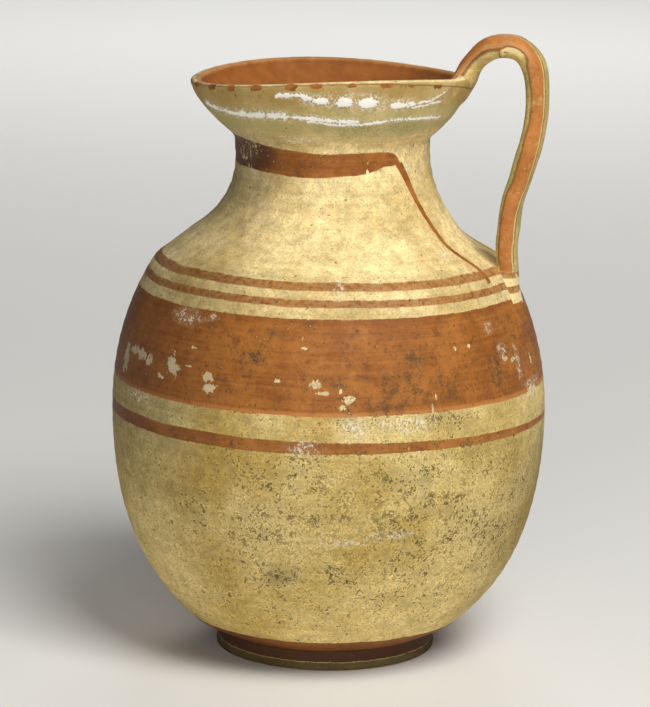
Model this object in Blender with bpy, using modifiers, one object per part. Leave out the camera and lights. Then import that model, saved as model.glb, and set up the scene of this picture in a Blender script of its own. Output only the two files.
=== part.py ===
"""A painted pouring jug of fired clay, thrown on a wheel, with one strap handle.

The jug stands on the disc of its foot. Its axis is the world's Z axis, the underside
of the foot lies at z = 0 and the handle rises towards +X. All sizes are in metres.
"""

import bmesh
import bpy
import numpy as np

# Foot: a low disc with a small moulding round its lower edge.
FOOT_RADIUS = 0.0495
FOOT_HEIGHT = 0.0100
FOOT_BEVEL = 0.0008
FOOT_MOULDING_HEIGHT = 0.0036
FOOT_MOULDING_DEPTH = 0.0007

# Belly: two half ellipses turned about the axis, which meet at its widest point. The
# lower one is a little fuller. The foot cuts it below and the shoulder above.
BELLY_RADIUS = 0.0978
BELLY_ABOVE_FOOT = 0.0980
UPPER_HALF_HEIGHT = 0.1180
UPPER_FULLNESS = 2.0
LOWER_HALF_HEIGHT = 0.1142
LOWER_FULLNESS = 2.16
UNDERTURN_HEIGHT = 0.0050
UNDERTURN_OVERHANG = 0.0014

# Shoulder and neck: one hollow curve from the shoulder's edge to the waist of the neck.
SHOULDER_ABOVE_BELLY = 0.0700
SHOULDER_SLOPE_DEG = 57.0
SHOULDER_PULL = 0.0130
NECK_ABOVE_SHOULDER = 0.0480
NECK_RADIUS = 0.0431
NECK_PULL = 0.0280

# Rim: a flaring cup with a full, rounded profile, and a narrow lip.
CUP_ABOVE_NECK = 0.0075
CUP_SPREAD = 0.0003
CUP_SLOPE_DEG = 50.0
CUP_PULL = 0.0180
LIP_ABOVE_CUP = 0.0255
LIP_RADIUS = 0.0632
LIP_SLOPE_DEG = 12.0
LIP_PULL = 0.0050
LIP_ROUNDING = 0.0011

# Thrown wall and floor.
WALL = 0.0047
FLOOR = 0.0090
FLOOR_ROUND_HEIGHT = 0.0080
FLOOR_FLAT_SHARE = 0.5

# Strap handle, pulled from the lip over a high arch down to the shoulder. A share is a
# part of the strap's full thickness and a slope leans outwards from the vertical.
STRAP_THICKNESS = 0.0104
STRAP_WIDTH = 0.0155
LIP_END_DEPTH = 0.0075
LIP_END_SLOPE_DEG = 15.0
LIP_END_SHARE = 0.45
SPRING_ABOVE_LIP = 0.0008
SPRING_INSIDE_LIP = 0.0029
SPRING_SLOPE_DEG = 17.0
SPRING_SHARE = 0.80
ARCH_ABOVE_LIP = 0.0178
ARCH_BEYOND_LIP = 0.0133
ARCH_PULL = 0.0080
REACH_BEYOND_LIP = 0.0299
REACH_BELOW_LIP = 0.0076
REACH_PULL = 0.0237
REACH_SHARE = 0.95
ELBOW_BEYOND_SHOULDER = 0.0033
ELBOW_ABOVE_SHOULDER = 0.0211
ELBOW_SLOPE_DEG = 3.6
ELBOW_SHARE = 0.93
ROOT_DEPTH = 0.0200
ROOT_SLOPE_DEG = -24.0
ROOT_SHARE = 0.70
SPAN_PULL_SHARE = 0.35
LIP_FLARE = 0.45
LIP_FLARE_LENGTH = 0.0140
ROOT_FLARE = 0.35
ROOT_FLARE_LENGTH = 0.0200
FLARE_FADE = 1.5

# How finely the turned and swept shapes are stepped.
TURN_STEPS = 56
LOWER_ROWS = 9
UPPER_ROWS = 8
THROAT_ROWS = 9
CUP_ROWS = 7
FLOOR_ROWS = 6
STRAP_RINGS = 9
STRAP_ROUND = 4
MERGE_DISTANCE = 0.00001
CUTTER_OVERSHOOT = 0.0020

# Heights above the underside of the foot, worked out from the sizes above.
BELLY_Z = FOOT_HEIGHT + BELLY_ABOVE_FOOT
SHOULDER_Z = BELLY_Z + SHOULDER_ABOVE_BELLY
NECK_Z = SHOULDER_Z + NECK_ABOVE_SHOULDER
CUP_Z = NECK_Z + CUP_ABOVE_NECK
LIP_Z = CUP_Z + LIP_ABOVE_CUP


def bezier(start, start_pull, end_pull, end, count):
    """Points of a cubic Bezier curve from start to end, both included."""
    t = np.linspace(0.0, 1.0, count)[:, None]
    corners = [np.array(corner, dtype=float) for corner in (start, start_pull, end_pull, end)]
    weights = ((1 - t) ** 3, 3 * t * (1 - t) ** 2, 3 * t * t * (1 - t), t ** 3)
    return sum(weight * corner for weight, corner in zip(weights, corners))


def belly_radius(height):
    """Outer radius of the belly at a height above the underside of the foot."""
    rise = np.asarray(height) - BELLY_Z
    half_height = np.where(rise > 0, UPPER_HALF_HEIGHT, LOWER_HALF_HEIGHT)
    fullness = np.where(rise > 0, UPPER_FULLNESS, LOWER_FULLNESS)
    share = np.abs(rise) / half_height
    return BELLY_RADIUS * (1.0 - share ** fullness) ** (1.0 / fullness)


def even_heights(far_z, half_height, count):
    """Heights from far_z to the widest point that step evenly round a half ellipse."""
    turn = np.linspace(np.arcsin((far_z - BELLY_Z) / half_height), 0.0, count)
    return BELLY_Z + half_height * np.sin(turn)


def lean(slope_deg, pull):
    """A step of length pull that leans outwards from the vertical by slope_deg."""
    slope = np.radians(slope_deg)
    return np.array((np.sin(slope), np.cos(slope))) * pull


def foot_profile():
    """The foot's side, from its flat underside up to where the belly meets it."""
    waist = FOOT_RADIUS - FOOT_MOULDING_DEPTH
    return np.array([
        (FOOT_RADIUS - FOOT_BEVEL, 0.0),
        (FOOT_RADIUS, FOOT_BEVEL),
        (FOOT_RADIUS, FOOT_MOULDING_HEIGHT - FOOT_BEVEL),
        (waist, FOOT_MOULDING_HEIGHT),
        (waist, FOOT_HEIGHT - FOOT_BEVEL),
    ])


def body_profile():
    """The outer wall from the foot's top to just under the lip, bottom to top."""
    turn_z = FOOT_HEIGHT + UNDERTURN_HEIGHT
    underturn = np.array([(FOOT_RADIUS + UNDERTURN_OVERHANG, FOOT_HEIGHT)])
    lower = even_heights(turn_z, LOWER_HALF_HEIGHT, LOWER_ROWS)
    upper = even_heights(SHOULDER_Z, UPPER_HALF_HEIGHT, UPPER_ROWS)[::-1]
    heights = np.concatenate((lower[:-1], upper))
    belly = np.column_stack((belly_radius(heights), heights))
    shoulder = belly[-1]
    neck = np.array((NECK_RADIUS, NECK_Z))
    shoulder_step = lean(-SHOULDER_SLOPE_DEG, SHOULDER_PULL)
    throat = bezier(shoulder, shoulder + shoulder_step, neck - (0.0, NECK_PULL), neck,
                    THROAT_ROWS)
    cup_foot = np.array((NECK_RADIUS + CUP_SPREAD, CUP_Z))
    lip = np.array((LIP_RADIUS, LIP_Z - LIP_ROUNDING))
    cup = bezier(cup_foot, cup_foot + lean(CUP_SLOPE_DEG, CUP_PULL),
                 lip - lean(LIP_SLOPE_DEG, LIP_PULL), lip, CUP_ROWS)
    return np.vstack((underturn, belly, throat[1:], cup))


def inset(points, distance):
    """The same line moved towards the axis, square to itself, by a distance."""
    along = np.gradient(points, axis=0)
    along /= np.linalg.norm(along, axis=1)[:, None]
    return points + np.column_stack((-along[:, 1], along[:, 0])) * distance


def cavity_profile():
    """The inner wall from the middle of the floor to above the lip, bottom to top."""
    wall = inset(body_profile()[1:], WALL)
    wall = wall[wall[:, 1] > FLOOR + FLOOR_ROUND_HEIGHT]
    start = wall[0]
    rise = wall[1] - wall[0]
    reach_down = start - rise * (start[1] - FLOOR) / rise[1]
    flat_end = (start[0] * FLOOR_FLAT_SHARE, FLOOR)
    floor = bezier((0.0, FLOOR), flat_end, reach_down, start, FLOOR_ROWS)
    above = np.array([(wall[-1, 0], LIP_Z + CUTTER_OVERSHOOT)])
    axis_top = np.array([(0.0, LIP_Z + CUTTER_OVERSHOOT)])
    return np.vstack((floor, wall[1:], above, axis_top))


def outer_profile():
    """The whole outside as a solid of revolution, from the axis below to the axis above."""
    base = np.array([(0.0, 0.0)])
    corner = LIP_ROUNDING * (1.0 - np.sqrt(0.5))
    top = np.array([
        (LIP_RADIUS - corner, LIP_Z - corner),
        (LIP_RADIUS - LIP_ROUNDING, LIP_Z),
        (0.0, LIP_Z),
    ])
    return np.vstack((base, foot_profile(), body_profile(), top))


def fired_clay():
    """Buff slip over fired clay: matt, cream with an ochre cast."""
    material = bpy.data.materials.new("fired_clay")
    material.use_nodes = True
    shader = material.node_tree.nodes["Principled BSDF"]
    shader.inputs["Base Color"].default_value = (0.58, 0.42, 0.22, 1.0)
    shader.inputs["Roughness"].default_value = 0.72
    shader.inputs["Metallic"].default_value = 0.0
    return material


def turned_solid(name, profile, collection):
    """A closed solid made by turning a profile, given bottom to top, about the Z axis."""
    mesh = bpy.data.meshes.new(name)
    downward = profile[::-1]
    points = [(radius, 0.0, height) for radius, height in downward]
    edges = [(index, index + 1) for index in range(len(points) - 1)]
    mesh.from_pydata(points, edges, [])
    solid = bpy.data.objects.new(name, mesh)
    collection.objects.link(solid)
    screw = solid.modifiers.new("turn", "SCREW")
    screw.steps = TURN_STEPS
    screw.render_steps = TURN_STEPS
    screw.use_merge_vertices = True
    screw.merge_threshold = MERGE_DISTANCE
    screw.use_smooth_shade = True
    return solid


def strap_path():
    """The handle's centre line in the XZ plane, and how thick the strap is along it.

    Each row is an anchor, the pull before it, the pull after it and the share of the
    full thickness. The line starts in the wall under the lip, goes over the arch, runs
    down outside the neck and turns into the shoulder along the belly.
    """
    wall = body_profile()
    lip_end_z = LIP_Z - LIP_END_DEPTH
    cup = wall[wall[:, 1] >= CUP_Z]
    lip_end = (float(np.interp(lip_end_z, cup[:, 1], cup[:, 0])) - WALL / 2, lip_end_z)
    spring = (LIP_RADIUS - SPRING_INSIDE_LIP, LIP_Z + SPRING_ABOVE_LIP)
    arch = (LIP_RADIUS + ARCH_BEYOND_LIP, LIP_Z + ARCH_ABOVE_LIP)
    reach = (LIP_RADIUS + REACH_BEYOND_LIP, LIP_Z - REACH_BELOW_LIP)
    elbow = (float(belly_radius(SHOULDER_Z)) + ELBOW_BEYOND_SHOULDER,
             SHOULDER_Z + ELBOW_ABOVE_SHOULDER)
    root_z = SHOULDER_Z - ROOT_DEPTH
    root = (float(belly_radius(root_z)) - STRAP_THICKNESS * ROOT_SHARE / 2, root_z)
    rise = (spring[1] - lip_end[1]) * SPAN_PULL_SHARE
    climb = (arch[1] - spring[1]) * SPAN_PULL_SHARE
    drop = (reach[1] - elbow[1]) * SPAN_PULL_SHARE
    sink = (elbow[1] - root[1]) * SPAN_PULL_SHARE
    still = np.zeros(2)
    along = np.array((1.0, 0.0))
    return (
        (lip_end, still, lean(LIP_END_SLOPE_DEG, rise), LIP_END_SHARE),
        (spring, -lean(SPRING_SLOPE_DEG, rise), lean(SPRING_SLOPE_DEG, climb), SPRING_SHARE),
        (arch, -along * ARCH_PULL, along * ARCH_PULL, 1.0),
        (reach, lean(0.0, REACH_PULL), -lean(0.0, drop), REACH_SHARE),
        (elbow, lean(ELBOW_SLOPE_DEG, drop), -lean(ELBOW_SLOPE_DEG, sink), ELBOW_SHARE),
        (root, lean(ROOT_SLOPE_DEG, sink), still, ROOT_SHARE),
    )


def strap_curve(collection):
    """The handle as a round tube along its centre line, with closed ends."""
    curve = bpy.data.curves.new("strap", "CURVE")
    curve.dimensions = "3D"
    curve.bevel_depth = STRAP_THICKNESS / 2
    curve.bevel_resolution = STRAP_ROUND
    curve.resolution_u = STRAP_RINGS
    curve.use_fill_caps = True
    spline = curve.splines.new("BEZIER")
    path = strap_path()
    spline.bezier_points.add(len(path) - 1)
    for point, ((x, z), before, after, share) in zip(spline.bezier_points, path):
        point.co = (x, 0.0, z)
        point.handle_left = (x + before[0], 0.0, z + before[1])
        point.handle_right = (x + after[0], 0.0, z + after[1])
        point.radius = share
    strap = bpy.data.objects.new("strap", curve)
    collection.objects.link(strap)
    return strap


def widen(mesh):
    """Stretch the round tube sideways into a strap that spreads where it is joined on."""
    points = np.empty(len(mesh.vertices) * 3)
    mesh.vertices.foreach_get("co", points)
    points = points.reshape(-1, 3)
    path = strap_path()
    spread = np.ones(len(points))
    for (x, z), flare, length in ((path[0][0], LIP_FLARE, LIP_FLARE_LENGTH),
                                  (path[-1][0], ROOT_FLARE, ROOT_FLARE_LENGTH)):
        away = np.hypot(points[:, 0] - x, points[:, 2] - z)
        spread += flare * np.clip(1.0 - away / length, 0.0, 1.0) ** FLARE_FADE
    points[:, 1] *= spread * STRAP_WIDTH / STRAP_THICKNESS
    mesh.vertices.foreach_set("co", points.ravel())
    mesh.update()


def strap_solid(collection):
    """The handle as one closed mesh, ready to be joined to the body."""
    strap = strap_curve(collection)
    bpy.context.view_layer.update()
    evaluated = strap.evaluated_get(bpy.context.evaluated_depsgraph_get())
    mesh = bpy.data.meshes.new_from_object(evaluated)
    welded = bmesh.new()
    welded.from_mesh(mesh)
    bmesh.ops.remove_doubles(welded, verts=welded.verts, dist=MERGE_DISTANCE)
    bmesh.ops.recalc_face_normals(welded, faces=welded.faces)
    welded.to_mesh(mesh)
    welded.free()
    widen(mesh)
    mesh.shade_smooth()
    solid = bpy.data.objects.new("strap_handle", mesh)
    solid.matrix_world = strap.matrix_world
    collection.objects.link(solid)
    bpy.data.objects.remove(strap)
    return solid


def join(target, other, operation):
    """Join another solid to the target, or cut it away, and keep the other as a guide."""
    boolean = target.modifiers.new(other.name, "BOOLEAN")
    boolean.operation = operation
    boolean.solver = "EXACT"
    boolean.object = other
    other.hide_render = True
    other.display_type = "WIRE"


def main():
    """Build the jug: the turned body and its handle as one solid, hollowed at the end."""
    for leftover in list(bpy.data.objects):
        bpy.data.objects.remove(leftover)
    parts = bpy.data.collections.new("painted_jug")
    cutters = bpy.data.collections.new("cutters")
    bpy.context.scene.collection.children.link(parts)
    bpy.context.scene.collection.children.link(cutters)
    jug = turned_solid("jug", outer_profile(), parts)
    jug.data.materials.append(fired_clay())
    handle = strap_solid(cutters)
    cavity = turned_solid("cavity", cavity_profile(), cutters)
    join(jug, handle, "UNION")
    join(jug, cavity, "DIFFERENCE")


main()
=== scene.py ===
"""Looks of a painted pouring jug: its thrown wall, its strap handle, the paint, wear and soil.

The jug is one fired piece, so one closed mesh stands for the whole of it. The wall is a
turned grid and the handle a section carried along a path; both are joined, their joints
are filled out as smeared clay, and then the whole is bent and dented by the small faults
of a hand-thrown pot. Lengths are in metres, angles in degrees from the handle, seen from
above and counted towards the pot's left. The photograph looks from PICTURE_ANGLE.
"""

import math

import bpy
import numpy as np
from bpy.props import FloatProperty, FloatVectorProperty, IntProperty, PointerProperty
from mathutils import Color, Matrix, Vector


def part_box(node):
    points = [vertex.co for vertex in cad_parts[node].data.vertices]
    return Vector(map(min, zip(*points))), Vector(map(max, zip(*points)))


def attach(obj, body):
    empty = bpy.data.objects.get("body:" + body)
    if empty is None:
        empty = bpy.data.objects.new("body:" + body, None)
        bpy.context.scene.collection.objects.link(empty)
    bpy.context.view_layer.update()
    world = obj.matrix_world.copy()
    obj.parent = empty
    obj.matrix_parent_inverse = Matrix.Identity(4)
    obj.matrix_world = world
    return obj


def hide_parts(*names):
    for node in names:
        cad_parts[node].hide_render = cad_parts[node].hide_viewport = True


bl_info = {
    "name": "Painted Jug",
    "version": (1, 0, 0),
    "blender": (4, 5, 0),
    "location": "View3D > Sidebar > Painted Jug",
    "description": "Throws, joins and paints a one-handled jug and sets its studio",
    "category": "Object",
}

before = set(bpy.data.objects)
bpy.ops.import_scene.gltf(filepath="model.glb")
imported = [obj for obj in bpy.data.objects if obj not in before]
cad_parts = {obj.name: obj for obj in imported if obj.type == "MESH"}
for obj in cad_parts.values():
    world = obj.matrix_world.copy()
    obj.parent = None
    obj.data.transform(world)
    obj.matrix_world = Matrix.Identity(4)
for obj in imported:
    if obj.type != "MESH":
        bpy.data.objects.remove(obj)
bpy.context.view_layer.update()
JUG_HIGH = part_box("jug")[1]

PICTURE_ANGLE = 17.0
SEED = 11


def length(default, words):
    """A length in metres that the sidebar shows with its unit."""
    return FloatProperty(default=default, description=words, unit="LENGTH", precision=4)


def slope(default, words):
    """An angle, given in degrees and kept in radians."""
    return FloatProperty(default=math.radians(default), description=words, subtype="ANGLE")


def share(default, words):
    """A plain factor."""
    return FloatProperty(default=default, description=words, precision=3)


def count(default, words):
    """A whole number of steps."""
    return IntProperty(default=default, description=words, min=3)


def colour(default, words):
    """A colour in linear light."""
    return FloatVectorProperty(default=default, description=words, subtype="COLOR", min=0.0, max=1.0)


class JugWall(bpy.types.PropertyGroup):
    """Sizes of the thrown wall."""

    foot_radius: length(0.0495, "Radius of the foot's side")
    foot_height: length(0.0100, "Height of the foot")
    foot_bevel: length(0.0008, "Rounding of the foot's lower edge")
    moulding_height: length(0.0036, "Height of the foot's lower moulding")
    moulding_depth: length(0.0007, "How far the foot's side sits back")
    belly_radius: length(JUG_HIGH.y, "Radius at the widest point")
    belly_rise: length(0.0980, "From the foot's top to the widest point")
    upper_half: length(0.1180, "Half height of the belly's upper half ellipse")
    lower_half: length(0.1142, "Half height of the belly's lower half")
    lower_fullness: share(2.16, "Power of the lower half: 2 is an ellipse")
    underturn_height: length(0.0050, "Height of the turned strip over the foot")
    underturn_overhang: length(0.0014, "How far that strip starts past the foot")
    shoulder_rise: length(0.0700, "From the widest point to the shoulder edge")
    shoulder_slope: slope(57.0, "Inward lean of the shoulder at its edge")
    shoulder_pull: length(0.0130, "How far the shoulder keeps that lean")
    shoulder_softness: length(0.0024, "Reach of the rounding of the edge")
    neck_rise: length(0.0480, "From the shoulder edge to the neck's waist")
    neck_radius: length(0.0431, "Radius of the neck's waist")
    neck_pull: length(0.0280, "How far the neck keeps upright below its waist")
    cup_rise: length(0.0075, "From the waist to the foot of the cup")
    cup_spread: length(0.0003, "How much wider the neck is at the cup")
    cup_slope: slope(50.0, "Outward lean at the foot of the cup")
    cup_pull: length(0.0180, "How far the cup keeps that lean")
    lip_rise: length(0.0255, "From the foot of the cup to the lip")
    lip_radius: length(0.0632, "Outer radius of the lip")
    lip_slope: slope(12.0, "Outward lean just under the lip")
    lip_pull: length(0.0050, "How far the lip keeps that lean")
    lip_outer_rounding: length(0.0013, "Rounding of the outer edge")
    lip_inner_rounding: length(0.0017, "Rounding of the inner edge")
    wall: length(0.0047, "Thickness of the wall")
    floor: length(0.0090, "Height of the inner floor")
    floor_round: length(0.0080, "Height of the curve from floor to wall")
    turns: count(360, "Faces round the wall")


class JugStrap(bpy.types.PropertyGroup):
    """Sizes of the strap handle."""

    thickness: length(0.0104, "Full thickness of the strap")
    width: length(0.0155, "Full width of the strap")
    squareness: share(2.35, "Power of its rounded section: 2 is an oval")
    lip_end_depth: length(0.0066, "How far under the lip it starts")
    lip_end_slope: slope(27.0, "Outward lean at its start")
    spring_above_lip: length(0.0010, "Where it leaves the lip")
    spring_inside_lip: length(0.0029, "How far inside the lip's edge")
    spring_slope: slope(23.5, "Outward lean where it leaves the lip")
    arch_beyond_lip: length(0.0136, "From the lip's edge out to the arch")
    arch_pull: length(0.0080, "How far the arch stays level")
    reach_beyond_lip: length(0.0299, "From the lip's edge to its far side")
    reach_below_lip: length(0.0076, "How far under the lip that side is")
    reach_pull: length(0.0237, "How far the far side stays upright")
    elbow_beyond_shoulder: length(0.0033, "Its lower bend past the shoulder")
    elbow_above_shoulder: length(0.0211, "Its lower bend over the shoulder")
    elbow_slope: slope(3.6, "Outward lean at the lower bend")
    root_depth: length(0.0225, "How far below the shoulder edge it ends")
    root_slope: slope(-24.0, "Lean at its lower end")
    pull_share: share(0.352, "Share of a span over which an end's lean holds")
    lip_spread: share(0.43, "How much wider it is where it meets the lip")
    lip_spread_length: length(0.0140, "How far that widening runs")
    root_spread: share(0.15, "How much wider it is at its root")
    root_spread_length: length(0.0140, "How far that widening runs")
    fillet: length(0.0036, "Reach of the smeared clay round the root")
    lip_fillet: length(0.0066, "Reach of the smeared clay at the lip")
    rings: count(92, "Sections along the strap")
    sides: count(40, "Faces round the strap")


class JugFaults(bpy.types.PropertyGroup):
    """Small faults of a pot thrown by hand."""

    rim_level: length(0.00045, "Size of one step of the rim's warp")
    shoulder_swell: length(0.0020, "Fuller shoulder on the pot's left")
    neck_shift: length(0.0008, "How far the neck leans to the right")
    cup_flat: length(0.0020, "Cup pressed in beside the handle")
    ring_outside: length(0.00012, "Depth of the throwing rings outside")
    ring_inside: length(0.00045, "Depth of the throwing rings inside")
    wobble: length(0.00035, "Slow unevenness of the whole wall")
    strap_wobble: length(0.00028, "Unevenness of the strap")
    lime_height: length(0.00055, "Thickness of the lime crust")


class JugBands(bpy.types.PropertyGroup):
    """Heights of the painted bands on the outside."""

    foot_low: length(0.0041, "Lower edge of the foot's paint")
    foot_top: length(0.0172, "Upper edge of the foot's paint")
    low_line: length(0.1104, "Lower edge of the line under the broad band")
    low_line_top: length(0.1143, "Its mean upper edge")
    low_line_swing: length(0.0018, "How much that edge rises and falls")
    broad_low: length(0.1266, "Lower edge of the broad band")
    broad_high: length(0.1662, "Upper edge of the broad band")
    second_line: length(0.1719, "Middle of the lower shoulder line")
    second_half: length(0.00150, "Half its height")
    first_line: length(0.1784, "Middle of the upper shoulder line")
    first_half: length(0.00150, "Half its height")
    line_swing: length(0.00060, "How much the shoulder lines tilt")
    inside_depth: length(0.0440, "How far the paint goes down the mouth")
    # Below this height the foot's darker paint is partly painted shade under the belly.
    foot_side: length(0.0098, "Below this the foot's paint fired dark")
    crack_drop: length(0.0018, "How far the bands sank right of the root's crack")


class JugPaints(bpy.types.PropertyGroup):
    """Colours of clay, slip, paint and soil."""

    slip_light: colour((0.80, 0.630, 0.300), "Clean slip")
    slip_deep: colour((0.58, 0.410, 0.145), "Ochre slip")
    slip_ash: colour((0.43, 0.365, 0.150), "Greyed slip")
    iron: colour((0.262, 0.088, 0.017), "Red-brown paint where it is full")
    iron_thin: colour((0.375, 0.140, 0.028), "Orange-brown thin paint")
    iron_dark: colour((0.085, 0.034, 0.016), "Where the paint fired dark")
    flame: colour((0.535, 0.205, 0.056), "Orange paint of the handle")
    mouth: colour((0.335, 0.112, 0.024), "Paint of the mouth's inside")
    clay: colour((0.46, 0.265, 0.120), "Clay where it was left bare")
    soil: colour((0.070, 0.052, 0.018), "Dark specks and stains")
    moss: colour((0.135, 0.140, 0.085), "Grey-green clusters")
    lime: colour((0.95, 0.94, 0.90), "White crust")
    plaster: colour((0.72, 0.66, 0.52), "Fill of the old repair")
    # Partly painted shade: this brown also darkens the flaring cup's outside, which faces down under
    # the lip.
    cup_wash_and_shade: colour((0.40, 0.262, 0.078), "Brownish wash under the lip")
    tan: colour((0.50, 0.270, 0.110), "Thin paint just inside the lip")
    # Grime with painted contact shadow: the foot's lower moulding is darkened where it stands on the
    # floor.
    grime_and_contact_shadow: colour((0.055, 0.040, 0.018), "Dark moulding of the foot")
    veil: colour((0.340, 0.270, 0.105), "Thin grey film over soiled places")
    dust: colour((0.76, 0.70, 0.54), "Pale rubbed points and scratches")
    # Also used for painted shade inside the mouth.
    smut_and_shade: colour((0.105, 0.062, 0.024), "Dark-brown points in stained paint")


class JugStudio(bpy.types.PropertyGroup):
    """Camera, lights and floor."""

    camera_distance: length(1.575, "From the aim point to the camera")
    camera_pitch: slope(11.8, "How far the camera looks down")
    camera_roll: slope(0.876, "Turn of the picture")
    aim_height: length(0.135, "Height of the aim point")
    aim_right: length(-0.00191, "Aim point to the picture's right of the axis")
    aim_up: length(-0.00107, "Aim point up the picture from the aim height")
    lens: share(178.2, "Focal length in millimetres over 36 mm of picture height")
    key: share(43.0, "Watts of the large light from the upper right")
    fill: share(11.0, "Watts of the weak light from the front")
    back: share(21.0, "Watts of the light over the floor behind")
    rear: share(13.0, "Watts of the light on the side turned away")
    sky: share(0.070, "Strength of the even light all round")
    ground: colour((0.80, 0.80, 0.79), "Colour of the floor")


def bezier(start, start_pull, end_pull, end, number):
    """Cubic Bezier: (1-t)^3 a + 3t(1-t)^2 b + 3t^2(1-t) c + t^3 d, for t from 0 to 1."""
    t = np.linspace(0.0, 1.0, number)[:, None]
    a, b, c, d = (np.asarray(corner, dtype=float) for corner in (start, start_pull, end_pull, end))
    return (1 - t) ** 3 * a + 3 * t * (1 - t) ** 2 * b + 3 * t * t * (1 - t) * c + t ** 3 * d


def lean(angle, pull):
    """A step of length pull leaning outwards from the vertical: pull times (sin, cos)."""
    return np.array((math.sin(angle), math.cos(angle))) * pull


def arc(centre, radius, start, end, number=8):
    """Arc points: centre plus radius times (cos, sin) of angles from start to end in degrees."""
    turn = np.radians(np.linspace(start, end, number))
    return np.asarray(centre) + radius * np.column_stack((np.cos(turn), np.sin(turn)))


def run_of(line):
    """Distance along a line to each of its points: the summed lengths of its steps."""
    steps = np.linalg.norm(np.diff(line, axis=0), axis=1)
    return np.concatenate(([0.0], np.cumsum(steps)))


def at_run(line, runs):
    """Points of a line at given distances along it, linear between its own points."""
    own = run_of(line)
    return np.column_stack([np.interp(runs, own, column) for column in line.T])


def even(line, step):
    """The same line with points a step apart."""
    total = run_of(line)[-1]
    return at_run(line, np.linspace(0.0, total, int(round(total / step)) + 1))


def line_frame(line):
    """Unit steps along a line, and square to it to its left."""
    along = np.gradient(line, axis=0)
    along /= np.linalg.norm(along, axis=1)[:, None]
    return along, np.column_stack((-along[:, 1], along[:, 0]))


def softened(line, step, reach):
    """Bell-weighted mean of each point's neighbours; the ends are mirrored so they stay."""
    half = int(3 * reach / step)
    bell = np.exp(-0.5 * (np.arange(-half, half + 1) * step / reach) ** 2)
    bell /= bell.sum()
    before = 2 * line[0] - line[half:0:-1]
    after = 2 * line[-1] - line[-2:-half - 2:-1]
    padded = np.vstack((before, line, after))
    return np.column_stack([np.convolve(column, bell, "valid") for column in padded.T])


def smooth_step(value, low, high):
    """0 below low, 1 above high and 3t^2 - 2t^3 between them."""
    t = np.clip((value - low) / (high - low), 0.0, 1.0)
    return t * t * (3.0 - 2.0 * t)


def bell(value, middle, width):
    """exp(-((value - middle) / width)^2)."""
    return np.exp(-((value - middle) / width) ** 2)


def waves(points, size, seed, number=26):
    """Smooth noise of about -1 to 1: a sum of cosines of random direction, length near size."""
    random = np.random.default_rng(seed)
    direction = random.normal(size=(number, 3))
    direction /= np.linalg.norm(direction, axis=1)[:, None]
    pace = 2 * np.pi / size * random.uniform(0.6, 1.5, number)
    phase = random.uniform(0.0, 2 * np.pi, number)
    return np.cos(points @ (direction * pace[:, None]).T + phase).sum(axis=1) / math.sqrt(number)


def levels(wall):
    """Heights of belly, shoulder edge, waist, cup foot and lip, each on the one before."""
    rises = (wall.foot_height, wall.belly_rise, wall.shoulder_rise, wall.neck_rise,
             wall.cup_rise, wall.lip_rise)
    return np.cumsum(rises)[1:]


def belly_radius(wall, height):
    """Half ellipses above and below the widest point: R (1 - |h / half|^p)^(1/p)."""
    rise = np.asarray(height) - levels(wall)[0]
    half = np.where(rise > 0, wall.upper_half, wall.lower_half)
    power = np.where(rise > 0, 2.0, wall.lower_fullness)
    return wall.belly_radius * (1.0 - (np.abs(rise) / half) ** power) ** (1.0 / power)


# Step of the outline's points, the reach of the rounding of its firm corners and its crest, and
# how far from the shoulder's edge the softer rounding there is felt.
LINE_STEP, CORNER_REACH, CREST_REACH, EDGE_REACH = 0.00025, 0.00035, 0.00030, 0.010
# Points on the curves of the belly, throat, cup and inner floor, before a line is made even.
BELLY_POINTS, THROAT_POINTS, CUP_POINTS, FLOOR_POINTS = 400, 160, 100, 60
# The least share of the wall's thickness that an inner point keeps from the outer side, and
# the points at the inner side's lower end that give its direction.
KEPT_WALL, END_POINTS = 0.985, 9
# Spacing of the wall's rows by the lip, under the foot, up the foot, outside, down the mouth
# and deep inside, and the bounds of the first three and the fifth.
ROW_SPACING = (0.00060, 0.0042, 0.00080, 0.00195, 0.0022, 0.0075)
LIP_ROWS, UNDER_ROWS, FOOT_ROWS, MOUTH_ROWS = 0.0070, 0.0004, 0.0125, 0.0300
# Reach over which the rows' spacing changes, and the height under which faces are underside.
SPACING_REACH, UNDERSIDE_HEIGHT = 0.0015, 0.0003


def outside_line(wall):
    """The outer side in the (radius, height) plane, from the foot's middle up to the lip.

    The foot is an arc and straight pieces, the belly two half ellipses, and shoulder, neck
    and cup are Bezier curves. Corners are softened, the shoulder's edge the most.
    """
    _, shoulder_z, neck_z, cup_z, lip_z = levels(wall)
    bevel, waist = wall.foot_bevel, wall.foot_radius - wall.moulding_depth
    foot = np.vstack((
        [(0.0, 0.0)], arc((wall.foot_radius - bevel, bevel), bevel, -90.0, 0.0),
        [(wall.foot_radius, wall.moulding_height - bevel), (waist, wall.moulding_height),
         (waist, wall.foot_height - bevel),
         (wall.foot_radius + wall.underturn_overhang, wall.foot_height)]))
    heights = np.linspace(wall.foot_height + wall.underturn_height, shoulder_z, BELLY_POINTS)
    belly = np.column_stack((belly_radius(wall, heights), heights))
    edge, neck = belly[-1], np.array((wall.neck_radius, neck_z))
    throat = bezier(edge, edge + lean(-wall.shoulder_slope, wall.shoulder_pull),
                    neck - (0.0, wall.neck_pull), neck, THROAT_POINTS)
    cup_foot = np.array((wall.neck_radius + wall.cup_spread, cup_z))
    lip = np.array((wall.lip_radius, lip_z - wall.lip_outer_rounding))
    cup = bezier(cup_foot, cup_foot + lean(wall.cup_slope, wall.cup_pull),
                 lip - lean(wall.lip_slope, wall.lip_pull), lip, CUP_POINTS)
    line = even(np.vstack((foot, belly, throat[1:], cup)), LINE_STEP)
    firm = softened(line, LINE_STEP, CORNER_REACH)
    soft = softened(line, LINE_STEP, wall.shoulder_softness)
    near = bell(line[:, 1], shoulder_z, EDGE_REACH)[:, None]
    return firm + (soft - firm) * near


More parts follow.
